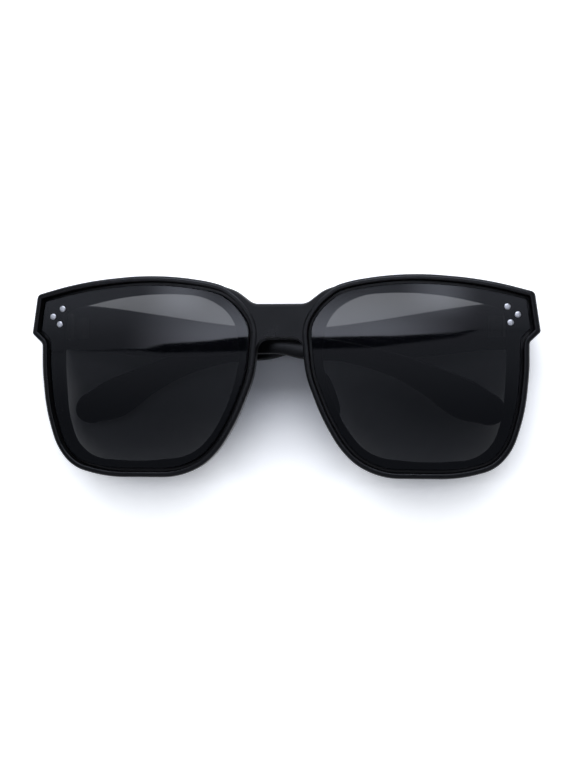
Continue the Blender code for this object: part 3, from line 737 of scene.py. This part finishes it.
def arm_stations():
    """Places along the arm, each with its half height, inner bevel, sink of both faces and edge radius."""
    first = ARM_ROOT / ARM_REACH
    stations = []
    for index in range(ARM_STATIONS):
        share = first + (1 - first) * index / (ARM_STATIONS - 1)
        height = HINGE_Y + interpolate(ARM_LINE_SHARES, share, 1) * ARM_ROOT_HALF_HEIGHT
        centre = Vector((share * ARM_REACH, height))
        half = interpolate(ARM_LINE_SHARES, share, 2) * ARM_ROOT_HALF_HEIGHT
        crease = interpolate(CREASE_SHARES, share, 1)
        steepness = max(0.0, interpolate(CREASE_SHARES, share, 2))
        bevel = steepness * (1 - crease) * (half - ARM_EDGE) / BEVEL_HOLLOW
        stations.append((centre, half, crease, bevel, 0.0, ARM_EDGE))
    ahead = (stations[-1][0] - stations[-2][0]).normalized()
    centre, half, crease, bevel = stations[-1][:4]
    for index in range(1, ARM_END_STATIONS + 1):
        turn = ARM_END_TURN * index / ARM_END_STATIONS
        slim = math.cos(turn)
        place = centre + ahead * ARM_END_RADIUS * math.sin(turn)
        sink = ARM_TIP_THICKNESS * (1 - slim) * ARM_END_SINK_SHARE
        edge = min(ARM_EDGE * (1 + slim) / 2, half * slim * EDGE_USE_SHARE)
        stations.append((place, half * slim, crease, bevel, sink, edge))
    return stations


def arm_rings():
    """Rings along the arm in its own frame: the pin along Y at the origin and the arm along +X."""
    stations = arm_stations()
    turns = [math.radians(QUARTER_TURN * step / EDGE_STEPS) for step in range(EDGE_STEPS + 1)]
    rings = []
    for index, (centre, half, crease, bevel, sink, edge) in enumerate(stations):
        before = stations[max(0, index - 1)][0]
        after = stations[min(len(stations) - 1, index + 1)][0]
        tangent = (after - before).normalized() if index else Vector((1, 0))
        up = Vector((-tangent.y, tangent.x))
        outer_sink = sink if index else ARM_ROOT_RELIEF
        inner = [(-half + edge - edge * math.cos(t), edge - edge * math.sin(t)) for t in turns]
        crease_at = crease * (half - edge)
        flat = [(-half + edge + (crease_at + half - edge) / 2, 0.0)]
        slant = [(crease_at, 0.0)]
        for share in BEVEL_LOOP_SHARES:
            rise = crease_at + (half - edge - crease_at) * share
            slant.append((rise, bevel * (1 - (1 - share) ** BEVEL_HOLLOW)))
        top = [(half - edge + edge * math.sin(t), bevel + edge - edge * math.cos(t)) for t in turns]
        outer_top = [(half - edge + edge * math.cos(t), edge - edge * math.sin(t)) for t in turns]
        outer_low = [(-half + edge - edge * math.sin(t), edge - edge * math.cos(t)) for t in turns]
        ring = []
        for rise, depth in inner + flat + slant + top:
            place = centre + up * rise
            ring.append(Vector((place.x, place.y, -ARM_INNER_OFFSET - sink - depth)))
        for rise, depth in outer_top + outer_low:
            place = centre + up * rise
            outside = -ARM_INNER_OFFSET - arm_thickness(place.x)
            ring.append(Vector((place.x, place.y, outside + outer_sink + depth)))
        rings.append(ring)
    return rings


def fold_matrix(side):
    """From an arm's own frame, made for the left side, to the world."""
    tilt = LEFT_FOLD_TILT if side < 0 else RIGHT_FOLD_TILT
    pin = DATUM + Vector((side * HINGE_X, 0, -HINGE_DEPTH))
    return Matrix.Translation(pin) @ Euler((0, -side * tilt, 0)).to_matrix().to_4x4()


def add_fade(tree, source, limits, interpolation="LINEAR"):
    """Maps a value from between two limits to between two levels."""
    node = tree.nodes.new("ShaderNodeMapRange")
    node.interpolation_type = interpolation
    for word, number in zip(("From Min", "From Max", "To Min", "To Max"), limits):
        node.inputs[word].default_value = number
    tree.links.new(source, node.inputs["Value"])
    return node.outputs["Result"]


class PatternedFinish:
    """A principled finish whose patterns lie on the piece's own coordinates. Scales are per metre."""

    def __init__(self, name, colour, cover=1.0):
        self.material = bpy.data.materials.new(name)
        self.material.use_nodes = True
        self.material.diffuse_color = (*colour, cover)
        self.colour = colour
        self.tree = self.material.node_tree
        self.shader = self.tree.nodes["Principled BSDF"]
        self.place = self.tree.nodes.new("ShaderNodeTexCoord").outputs["Object"]

    def noise(self, scale, detail, stretch=None):
        """A pattern of slow patches, fine grain or, if stretched, drawn lines."""
        noise = self.tree.nodes.new("ShaderNodeTexNoise")
        noise.inputs["Scale"].default_value = scale
        noise.inputs["Detail"].default_value = detail
        source = self.place
        if stretch:
            mapping = self.tree.nodes.new("ShaderNodeMapping")
            mapping.inputs["Scale"].default_value = stretch
            self.tree.links.new(source, mapping.inputs["Vector"])
            source = mapping.outputs["Vector"]
        self.tree.links.new(source, noise.inputs["Vector"])
        return noise.outputs["Fac"]

    def tint(self, pattern, darker, lighter):
        """A slow change between two near tones of the colour."""
        ramp = self.tree.nodes.new("ShaderNodeValToRGB")
        for element, position, share in zip(ramp.color_ramp.elements, TINT_SPAN, (darker, lighter)):
            element.position = position
            element.color = (*[part * share for part in self.colour], 1.0)
        self.tree.links.new(pattern, ramp.inputs["Fac"])
        self.tree.links.new(ramp.outputs["Color"], self.shader.inputs["Base Color"])

    def gloss(self, pattern, low, high):
        """A roughness that the pattern spreads over a narrow range."""
        spread = add_fade(self.tree, pattern, (*PATTERN_SPAN, low, high))
        self.tree.links.new(spread, self.shader.inputs["Roughness"])

    def relief(self, pattern, strength, depth):
        bump = self.tree.nodes.new("ShaderNodeBump")
        bump.inputs["Strength"].default_value = strength
        bump.inputs["Distance"].default_value = depth
        self.tree.links.new(pattern, bump.inputs["Height"])
        self.tree.links.new(bump.outputs["Normal"], self.shader.inputs["Normal"])


def moulded_plastic(name, colour, roughness):
    """Satin black injection moulding: a fine even grain and a slow change of gloss."""
    made = PatternedFinish(name, colour)
    made.tint(made.noise(scale=60.0, detail=3.0), darker=0.85, lighter=1.2)
    made.gloss(made.noise(scale=220.0, detail=4.0), low=roughness - 0.03, high=roughness + 0.04)
    made.relief(made.noise(scale=9000.0, detail=1.0), strength=0.12, depth=FINE_GRAIN)
    made.shader.inputs["IOR"].default_value = PLASTIC_IOR
    return made.material


def smoke_lens(name, colour, cover):
    """Polished smoke tint that lets a little through."""
    made = PatternedFinish(name, colour, cover)
    made.tint(made.noise(scale=18.0, detail=1.0), darker=0.92, lighter=1.08)
    made.gloss(made.noise(scale=90.0, detail=4.0), low=0.018, high=0.024)
    made.shader.inputs["Alpha"].default_value = cover
    made.shader.inputs["IOR"].default_value = LENS_IOR
    return made.material


def bright_metal(name, colour, roughness, stretch):
    """Steel with faint drawn lines."""
    made = PatternedFinish(name, colour)
    made.shader.inputs["Metallic"].default_value = 1.0
    lines = made.noise(scale=900.0, detail=3.0, stretch=stretch)
    made.tint(lines, darker=0.94, lighter=1.0)
    made.gloss(lines, low=roughness * 0.8, high=roughness * 1.25)
    made.relief(lines, strength=0.05, depth=FINE_GRAIN)
    return made.material


def pad_rubber(name, colour, roughness):
    """Matt soft rubber with a fine grain."""
    made = PatternedFinish(name, colour)
    made.tint(made.noise(scale=300.0, detail=3.0), darker=0.8, lighter=1.25)
    made.shader.inputs["Roughness"].default_value = roughness
    made.relief(made.noise(scale=5000.0, detail=2.0), strength=0.25, depth=2 * FINE_GRAIN)
    return made.material


def finish(name):
    """The finish of that name, made once."""
    known = bpy.data.materials.get(name)
    if known:
        return known
    chosen = bpy.context.scene.eyewear_finish
    colour = list(chosen.frame_colour)
    if name == "satin_black_front":
        return moulded_plastic(name, colour, chosen.frame_roughness)
    if name == "satin_black_arm":
        return moulded_plastic(name, colour, chosen.arm_roughness)
    if name == "smoke_lens_tint":
        return smoke_lens(name, list(chosen.lens_colour), chosen.lens_cover)
    if name == "polished_rivet":
        return bright_metal(name, RIVET_COLOUR, roughness=0.42, stretch=(1.0, 0.2, 1.0))
    if name == "drawn_hinge_steel":
        return bright_metal(name, HINGE_COLOUR, roughness=0.4, stretch=(0.15, 1.0, 1.0))
    return pad_rubber(name, PAD_COLOUR, roughness=0.6)


def dress(piece, material_name, body, replaced):
    """Gives a piece its finish and its body, and hides the CAD node that it stands for."""
    piece.data.materials.clear()
    piece.data.materials.append(finish(material_name))
    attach(piece, body)
    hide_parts(replaced)


class SUNGLASSES_OT_front(Operator):
    """Builds the moulded front: two rims, the bridge and the corner blocks"""

    bl_idname = "sunglasses.front"
    bl_label = "Front moulding"

    def execute(self, context):
        right = ring_loft("front_moulding", to_world(rim_rings()), closed=True)
        left = ring_loft("left_rim", to_world(rim_rings(), -1), closed=True)
        make_active(right)
        left.select_set(True)
        bpy.ops.object.join()
        bridge = ring_loft("bridge", to_world(bridge_rings()))
        through = [eye_ring(BRIDGE_END_INSET, depth) for depth in (-RIM_THICKNESS, 2 * RIM_THICKNESS)]
        for side, _ in SIDES:
            combine(bridge, ring_loft("eye_cutter", to_world(through, side)), "DIFFERENCE")
        combine(right, bridge, "UNION")
        for side, _ in SIDES:
            combine(right, ring_loft("corner_block", block_rings(side)), "UNION")
        smooth(right)
        dress(right, "satin_black_front", "front", "front_frame")
        return {"FINISHED"}


def lens_rings():
    """Rings of the right lens, from the middle of its back round its bevelled edge to its front's middle."""
    back = LENS_RECESS + LENS_THICKNESS
    edge = eye_ring(LENS_INSET, back)

    def shrunk(share, depth, source):
        return [on_front(EYE_CENTRE + (Vector(p[:2]) - EYE_CENTRE) * share, depth) for p in source]

    shares = [math.sqrt(1 - index / LENS_RINGS) for index in range(1, LENS_RINGS)]
    rings = [shrunk(share, back, edge) for share in reversed(shares)]
    rings += [edge, eye_ring(LENS_INSET, LENS_RECESS + LENS_BEVEL)]
    for inset, depth in LENS_BEVEL_SHARES:
        rings.append(eye_ring(LENS_INSET + LENS_BEVEL * inset, LENS_RECESS + LENS_BEVEL * depth))
    front = eye_ring(LENS_INSET + LENS_BEVEL, LENS_RECESS)
    rings.append(front)
    rings += [shrunk(share, LENS_RECESS, front) for share in [LENS_FIRST_RING_SHARE] + shares]
    return rings


class SUNGLASSES_OT_lenses(Operator):
    """Builds the two smoke lenses with their bevelled edges"""

    bl_idname = "sunglasses.lenses"
    bl_label = "Lenses"

    def execute(self, context):
        for side, word in SIDES:
            piece = ring_loft(f"smoke_lens_{word}", to_world(lens_rings(), side))
            smooth(piece, degrees=25.0)
            dress(piece, "smoke_lens_tint", "front", f"lens_{word}")
        return {"FINISHED"}


class SUNGLASSES_OT_corner_rivets(Operator):
    """Builds the three domed rivets at each outer corner"""

    bl_idname = "sunglasses.corner_rivets"
    bl_label = "Corner rivets"

    def execute(self, context):
        for side, word in SIDES:
            for index, shares in enumerate(RIVET_SHARES, 1):
                x, y = place_from_shares(shares)
                piece = self.rivet(f"domed_rivet_{word}_{index}", side * x, y)
                node = f"corner_rivet_{word}_{index}"
                dress(piece, "polished_rivet", "front", node)
        return {"FINISHED"}

    def rivet(self, name, x, y):
        """One rivet, leaning with the curve of the front."""
        profile = [(RIVET_SHANK_RADIUS, -RIVET_SHANK_LENGTH), (RIVET_SHANK_RADIUS, RIVET_HEAD_GAP)]
        profile.append((RIVET_HEAD_RADIUS - RIVET_EDGE, RIVET_HEAD_GAP))
        wall = RIVET_HEAD_GAP + RIVET_EDGE
        profile.append((RIVET_HEAD_RADIUS, wall))
        for step in range(1, RIVET_DOME_STEPS):
            turn = math.radians(QUARTER_TURN * step / RIVET_DOME_STEPS)
            rise = (RIVET_HEAD_HEIGHT - wall) * math.sin(turn)
            profile.append((RIVET_HEAD_RADIUS * math.cos(turn) ** RIVET_DOME_FULLNESS, wall + rise))
        place = DATUM + Vector((x, y, -LENS_RECESS - face_curve(x)))
        slope = x / FACE_CURVE_RADIUS
        rings = []
        for radius, height in profile:
            ring = []
            for index in range(RIVET_SIDES):
                turn = math.tau * index / RIVET_SIDES
                across = Vector((radius * math.cos(turn), radius * math.sin(turn), height))
                across.z -= slope * across.x
                ring.append(place + across)
            rings.append(ring)
        piece = ring_loft(name, rings)
        smooth(piece, degrees=40.0)
        return piece


class SUNGLASSES_OT_arms(Operator):
    """Builds the two arms, folded one over the other"""

    bl_idname = "sunglasses.arms"
    bl_label = "Arms"

    def execute(self, context):
        for side, word in SIDES:
            rings = mirrored(arm_rings()) if side > 0 else arm_rings()
            place = fold_matrix(side)
            piece = ring_loft(f"moulded_arm_{word}", [[place @ p for p in ring] for ring in rings])
            smooth(piece, degrees=25.0)
            dress(piece, "satin_black_arm", f"arm_{word}", f"arm_{word}")
        return {"FINISHED"}


class SUNGLASSES_OT_nose_pads(Operator):
    """Builds the two soft nose pads behind the rims"""

    bl_idname = "sunglasses.nose_pads"
    bl_label = "Nose pads"

    def execute(self, context):
        for side, word in SIDES:
            piece = ring_loft(f"soft_pad_{word}", to_world(self.rings(), side))
            smooth(piece, degrees=50.0)
            dress(piece, "soft_pad_rubber", "front", f"nose_pad_{word}")
        return {"FINISHED"}

    def rings(self):
        top, foot = place_from_shares(PAD_TOP_SHARES), place_from_shares(PAD_FOOT_SHARES)
        along = (foot - top).normalized()
        across = Vector((-along.y, along.x))
        rings = []
        for step in range(PAD_LEVELS + 1):
            share = math.sin(math.radians(QUARTER_TURN * step / PAD_LEVELS))
            length, width, lean = (interpolate(PAD_LEVEL_SHARES, share, column) for column in (1, 2, 3))
            ring = []
            for index in range(PAD_SIDES):
                turn = math.tau * index / PAD_SIDES
                reach = math.copysign(abs(math.cos(turn)) ** PAD_SQUARENESS, math.cos(turn))
                wide = math.sin(turn) * width * PAD_WIDTH / 2 + lean * PAD_LEAN
                place = (top + foot) / 2 + (foot - top) * reach * length / 2 + across * wide
                ring.append(on_front(place, RIM_THICKNESS + PAD_SEAT_GAP + share * PAD_DEPTH))
            rings.append(ring)
        return rings


class SUNGLASSES_OT_hinges(Operator):
    """Gives the hinge leaves, screws and rivets their drawn steel"""

    bl_idname = "sunglasses.hinges"
    bl_label = "Hinges"

    def execute(self, context):
        for name, node in frame["nodes"].items():
            if "hinge" in name:
                node.data.materials.clear()
                node.data.materials.append(finish("drawn_hinge_steel"))
        return {"FINISHED"}


def bare_material(name):
    """A material with nothing but its output, its nodes and that output."""
    made = bpy.data.materials.new(name)
    made.use_nodes = True
    tree = made.node_tree
    tree.nodes.clear()
    return made, tree, tree.nodes.new("ShaderNodeOutputMaterial")


def add_math(tree, operation, *values):
    """One step of arithmetic on node outputs and plain numbers."""
    node = tree.nodes.new("ShaderNodeMath")
    node.operation = operation
    for socket, value in zip(node.inputs, values):
        if isinstance(value, (int, float)):
            socket.default_value = value
        else:
            tree.links.new(value, socket)
    return node.outputs[0]


class SUNGLASSES_OT_stage(Operator):
    """Builds the white table, the lamps and the camera"""

    bl_idname = "sunglasses.stage"
    bl_label = "Stage"

    def execute(self, context):
        self.table(context)
        self.world(context)
        self.light(context.scene.eyewear_stage)
        self.camera(context)
        return {"FINISHED"}

    def table(self, context):
        """A white table lifted to white, with painted shade under and near the front where that lift fades.
        """
        deselect_all()
        bpy.ops.mesh.primitive_plane_add(size=TABLE_SIZE, location=(0, 0, -TABLE_SINK))
        table = bpy.context.object
        table.name = "table"
        made, tree, output = bare_material("white_table")
        board = tree.nodes.new("ShaderNodeBsdfDiffuse")
        board.inputs["Color"].default_value = TABLE_COLOUR
        glow = tree.nodes.new("ShaderNodeEmission")
        glow.inputs["Color"].default_value = GLOW_COLOUR
        path = tree.nodes.new("ShaderNodeLightPath")
        seen = add_math(tree, "MAXIMUM", path.outputs["Is Camera Ray"], path.outputs["Is Glossy Ray"])
        seen = add_math(tree, "MAXIMUM", seen, path.outputs["Is Transmission Ray"])
        lean = tree.nodes.new("ShaderNodeCombineXYZ")
        lean.inputs["Y"].default_value = math.sin(PAINTED_SHADE_LEAN)
        lean.inputs["Z"].default_value = math.cos(PAINTED_SHADE_LEAN)
        # Painted shade: ambient occlusion leaning to the brow dims the table's glow under and near the front
        shade = tree.nodes.new("ShaderNodeAmbientOcclusion")
        shade.samples = PAINTED_SHADE_SAMPLES
        shade.inputs["Distance"].default_value = PAINTED_SHADE_REACH
        tree.links.new(lean.outputs[0], shade.inputs["Normal"])
        level = add_math(tree, "MULTIPLY", seen, add_fade(tree, shade.outputs["AO"], PAINTED_SHADE_FADE))
        strength = add_math(tree, "MULTIPLY", level, context.scene.eyewear_stage.table_glow)
        tree.links.new(strength, glow.inputs["Strength"])
        both = tree.nodes.new("ShaderNodeAddShader")
        tree.links.new(board.outputs[0], both.inputs[0])
        tree.links.new(glow.outputs[0], both.inputs[1])
        tree.links.new(both.outputs[0], output.inputs["Surface"])
        table.data.materials.append(made)

    def world(self, context):
        """A faint even light from all sides that the camera sees as white."""
        chosen = context.scene.eyewear_stage
        world = bpy.data.worlds.new("studio")
        context.scene.world = world
        world.use_nodes = True
        tree = world.node_tree
        even = tree.nodes["Background"]
        even.inputs["Color"].default_value = (*chosen.lamp_colour, 1)
        even.inputs["Strength"].default_value = chosen.world_level
        backdrop = tree.nodes.new("ShaderNodeBackground")
        backdrop.inputs["Color"].default_value = WHITE
        path = tree.nodes.new("ShaderNodeLightPath")
        seen = tree.nodes.new("ShaderNodeMixShader")
        tree.links.new(path.outputs["Is Camera Ray"], seen.inputs["Fac"])
        tree.links.new(even.outputs[0], seen.inputs[1])
        tree.links.new(backdrop.outputs[0], seen.inputs[2])
        tree.links.new(seen.outputs[0], tree.nodes["World Output"].inputs["Surface"])

    def light(self, chosen):
        """The lamps and the two soft panels."""
        for name, aim, halves, setting, share in LAMPS:
            self.soft_lamp(name, aim, halves, getattr(chosen, setting) * share)
        bright = self.panel_light("bright_panel_light", chosen, True)
        faint = self.panel_light("faint_panel_light", chosen, False)
        self.soft_panel("brow_panel", BROW_PANEL_EDGE, PANEL_FAR_EDGES[0], bright)
        self.soft_panel("root_panel", ROOT_PANEL_EDGE, PANEL_FAR_EDGES[1], faint)

    def soft_panel(self, name, near_edge, far_edge, lit):
        """A lit sheet over the table, with a shaped edge on one side and a straight one on the other."""
        corners = list(near_edge) + [(near_edge[end][0], far_edge) for end in (-1, 0)]
        deselect_all()
        place = (0, 0, PANEL_HEIGHT)
        bpy.ops.mesh.primitive_circle_add(vertices=len(corners), fill_type="NGON", location=place)
        panel = bpy.context.object
        panel.name = name
        for vert, (x, y) in zip(panel.data.vertices, corners):
            vert.co = (x, y, 0)
        panel.data.materials.append(lit)

    def panel_light(self, name, chosen, bright):
        """Light that fades towards the lower edge and, if bright, is strongest in the middle beside the gap
        and in a spot at each side."""
        made, tree, output = bare_material(name)
        place = tree.nodes.new("ShaderNodeSeparateXYZ")
        tree.links.new(tree.nodes.new("ShaderNodeTexCoord").outputs["Object"], place.inputs[0])
        across, upwards = place.outputs["X"], place.outputs["Y"]

        def aside(value, middle):
            return add_math(tree, "ABSOLUTE", add_math(tree, "SUBTRACT", value, middle))

        def fade(value, limits):
            return add_fade(tree, value, limits, "SMOOTHSTEP")

        total = add_math(tree, "ADD", *[fade(upwards, limits) for limits in EVEN_FADES])
        if bright:
            from_middle = aside(across, PANEL_MIDDLE)
            from_glint = aside(aside(across, GLINT_MIDDLE), GLINT_SPREAD)
            for value, (outwards, to_brow) in ((from_middle, MIDDLE_FADES), (from_glint, GLINT_FADES)):
                more = add_math(tree, "MULTIPLY", fade(value, outwards), fade(upwards, to_brow))
                total = add_math(tree, "ADD", total, more)
        glow = tree.nodes.new("ShaderNodeEmission")
        glow.inputs["Color"].default_value = (*chosen.lamp_colour, 1)
        tree.links.new(add_math(tree, "MULTIPLY", total, chosen.panel_level), glow.inputs["Strength"])
        tree.links.new(glow.outputs[0], output.inputs["Surface"])
        return made

    def soft_lamp(self, name, aim, halves, level):
        """A flat lamp at two angles from straight up, with two half widths in degrees and the brightness of
        its face."""
        away = Vector((math.tan(math.radians(aim[0])), math.tan(math.radians(aim[1])), 1)).normalized()
        wide, deep = (2 * LAMP_DISTANCE * math.tan(math.radians(half)) for half in halves)
        deselect_all()
        bpy.ops.object.light_add(type="AREA", location=away * LAMP_DISTANCE)
        lamp = bpy.context.object
        lamp.name = name
        lamp.data.shape = "RECTANGLE"
        lamp.data.size = wide
        lamp.data.size_y = deep
        lamp.data.energy = level * math.pi * wide * deep
        lamp.data.color = bpy.context.scene.eyewear_stage.lamp_colour
        across = (Vector((1, 0, 0)) - away * away.x).normalized()
        lamp.rotation_euler = Matrix((across, away.cross(across), away)).transposed().to_euler()

    def camera(self, context):
        """Places the camera so that the datum falls on its pixel of the photograph."""
        right = Vector((math.cos(CAMERA_YAW), 0, -math.sin(CAMERA_YAW)))
        level_back = Vector((math.sin(CAMERA_YAW), 0, math.cos(CAMERA_YAW)))
        level_up = Vector((0, 1, 0))
        up = math.cos(CAMERA_TILT) * level_up - math.sin(CAMERA_TILT) * level_back
        back = math.cos(CAMERA_TILT) * level_back + math.sin(CAMERA_TILT) * level_up
        scale = CAMERA_DISTANCE / FOCAL_PIXELS
        across = (PHOTO_SIZE[0] / 2 - DATUM_PIXEL[0]) * scale
        rise = (DATUM_PIXEL[1] - PHOTO_SIZE[1] / 2) * scale
        place = DATUM + back * CAMERA_DISTANCE + right * across + up * rise
        deselect_all()
        bpy.ops.object.camera_add(location=place)
        camera = bpy.context.object
        camera.name = "photo_camera"
        camera.rotation_euler = Matrix((right, up, back)).transposed().to_euler()
        camera.data.sensor_fit = "VERTICAL"
        camera.data.sensor_height = SENSOR_SIDE
        camera.data.sensor_width = SENSOR_SIDE
        camera.data.lens = FOCAL_PIXELS / PHOTO_SIZE[1] * SENSOR_SIDE
        camera.data.clip_start = CLIP_START
        context.scene.camera = camera


class SUNGLASSES_PT_pieces(Panel):
    """Lists the pieces of the sunglasses and their settings"""

    bl_idname = "SUNGLASSES_PT_pieces"
    bl_label = "Sunglasses"
    bl_space_type = "VIEW_3D"
    bl_region_type = "UI"
    bl_category = "Sunglasses"

    def draw(self, context):
        layout = self.layout
        for operator in PIECE_OPERATORS:
            layout.operator(operator.bl_idname)
        for group in (context.scene.eyewear_finish, context.scene.eyewear_stage):
            for name in group.__annotations__:
                layout.prop(group, name)


PIECE_OPERATORS = (
    SUNGLASSES_OT_front,
    SUNGLASSES_OT_lenses,
    SUNGLASSES_OT_corner_rivets,
    SUNGLASSES_OT_arms,
    SUNGLASSES_OT_nose_pads,
    SUNGLASSES_OT_hinges,
    SUNGLASSES_OT_stage,
)
CLASSES = (FinishSettings, StageSettings) + PIECE_OPERATORS + (SUNGLASSES_PT_pieces,)


def register():
    for one in CLASSES:
        bpy.utils.register_class(one)
    bpy.types.Scene.eyewear_finish = PointerProperty(type=FinishSettings)
    bpy.types.Scene.eyewear_stage = PointerProperty(type=StageSettings)


def unregister():
    del bpy.types.Scene.eyewear_stage
    del bpy.types.Scene.eyewear_finish
    for one in reversed(CLASSES):
        bpy.utils.unregister_class(one)


def main():
    register()
    bpy.context.scene.view_settings.view_transform = "Standard"
    bpy.ops.sunglasses.front()
    bpy.ops.sunglasses.lenses()
    bpy.ops.sunglasses.corner_rivets()
    bpy.ops.sunglasses.arms()
    bpy.ops.sunglasses.nose_pads()
    bpy.ops.sunglasses.hinges()
    bpy.ops.sunglasses.stage()


if __name__ == "__main__":
    main()
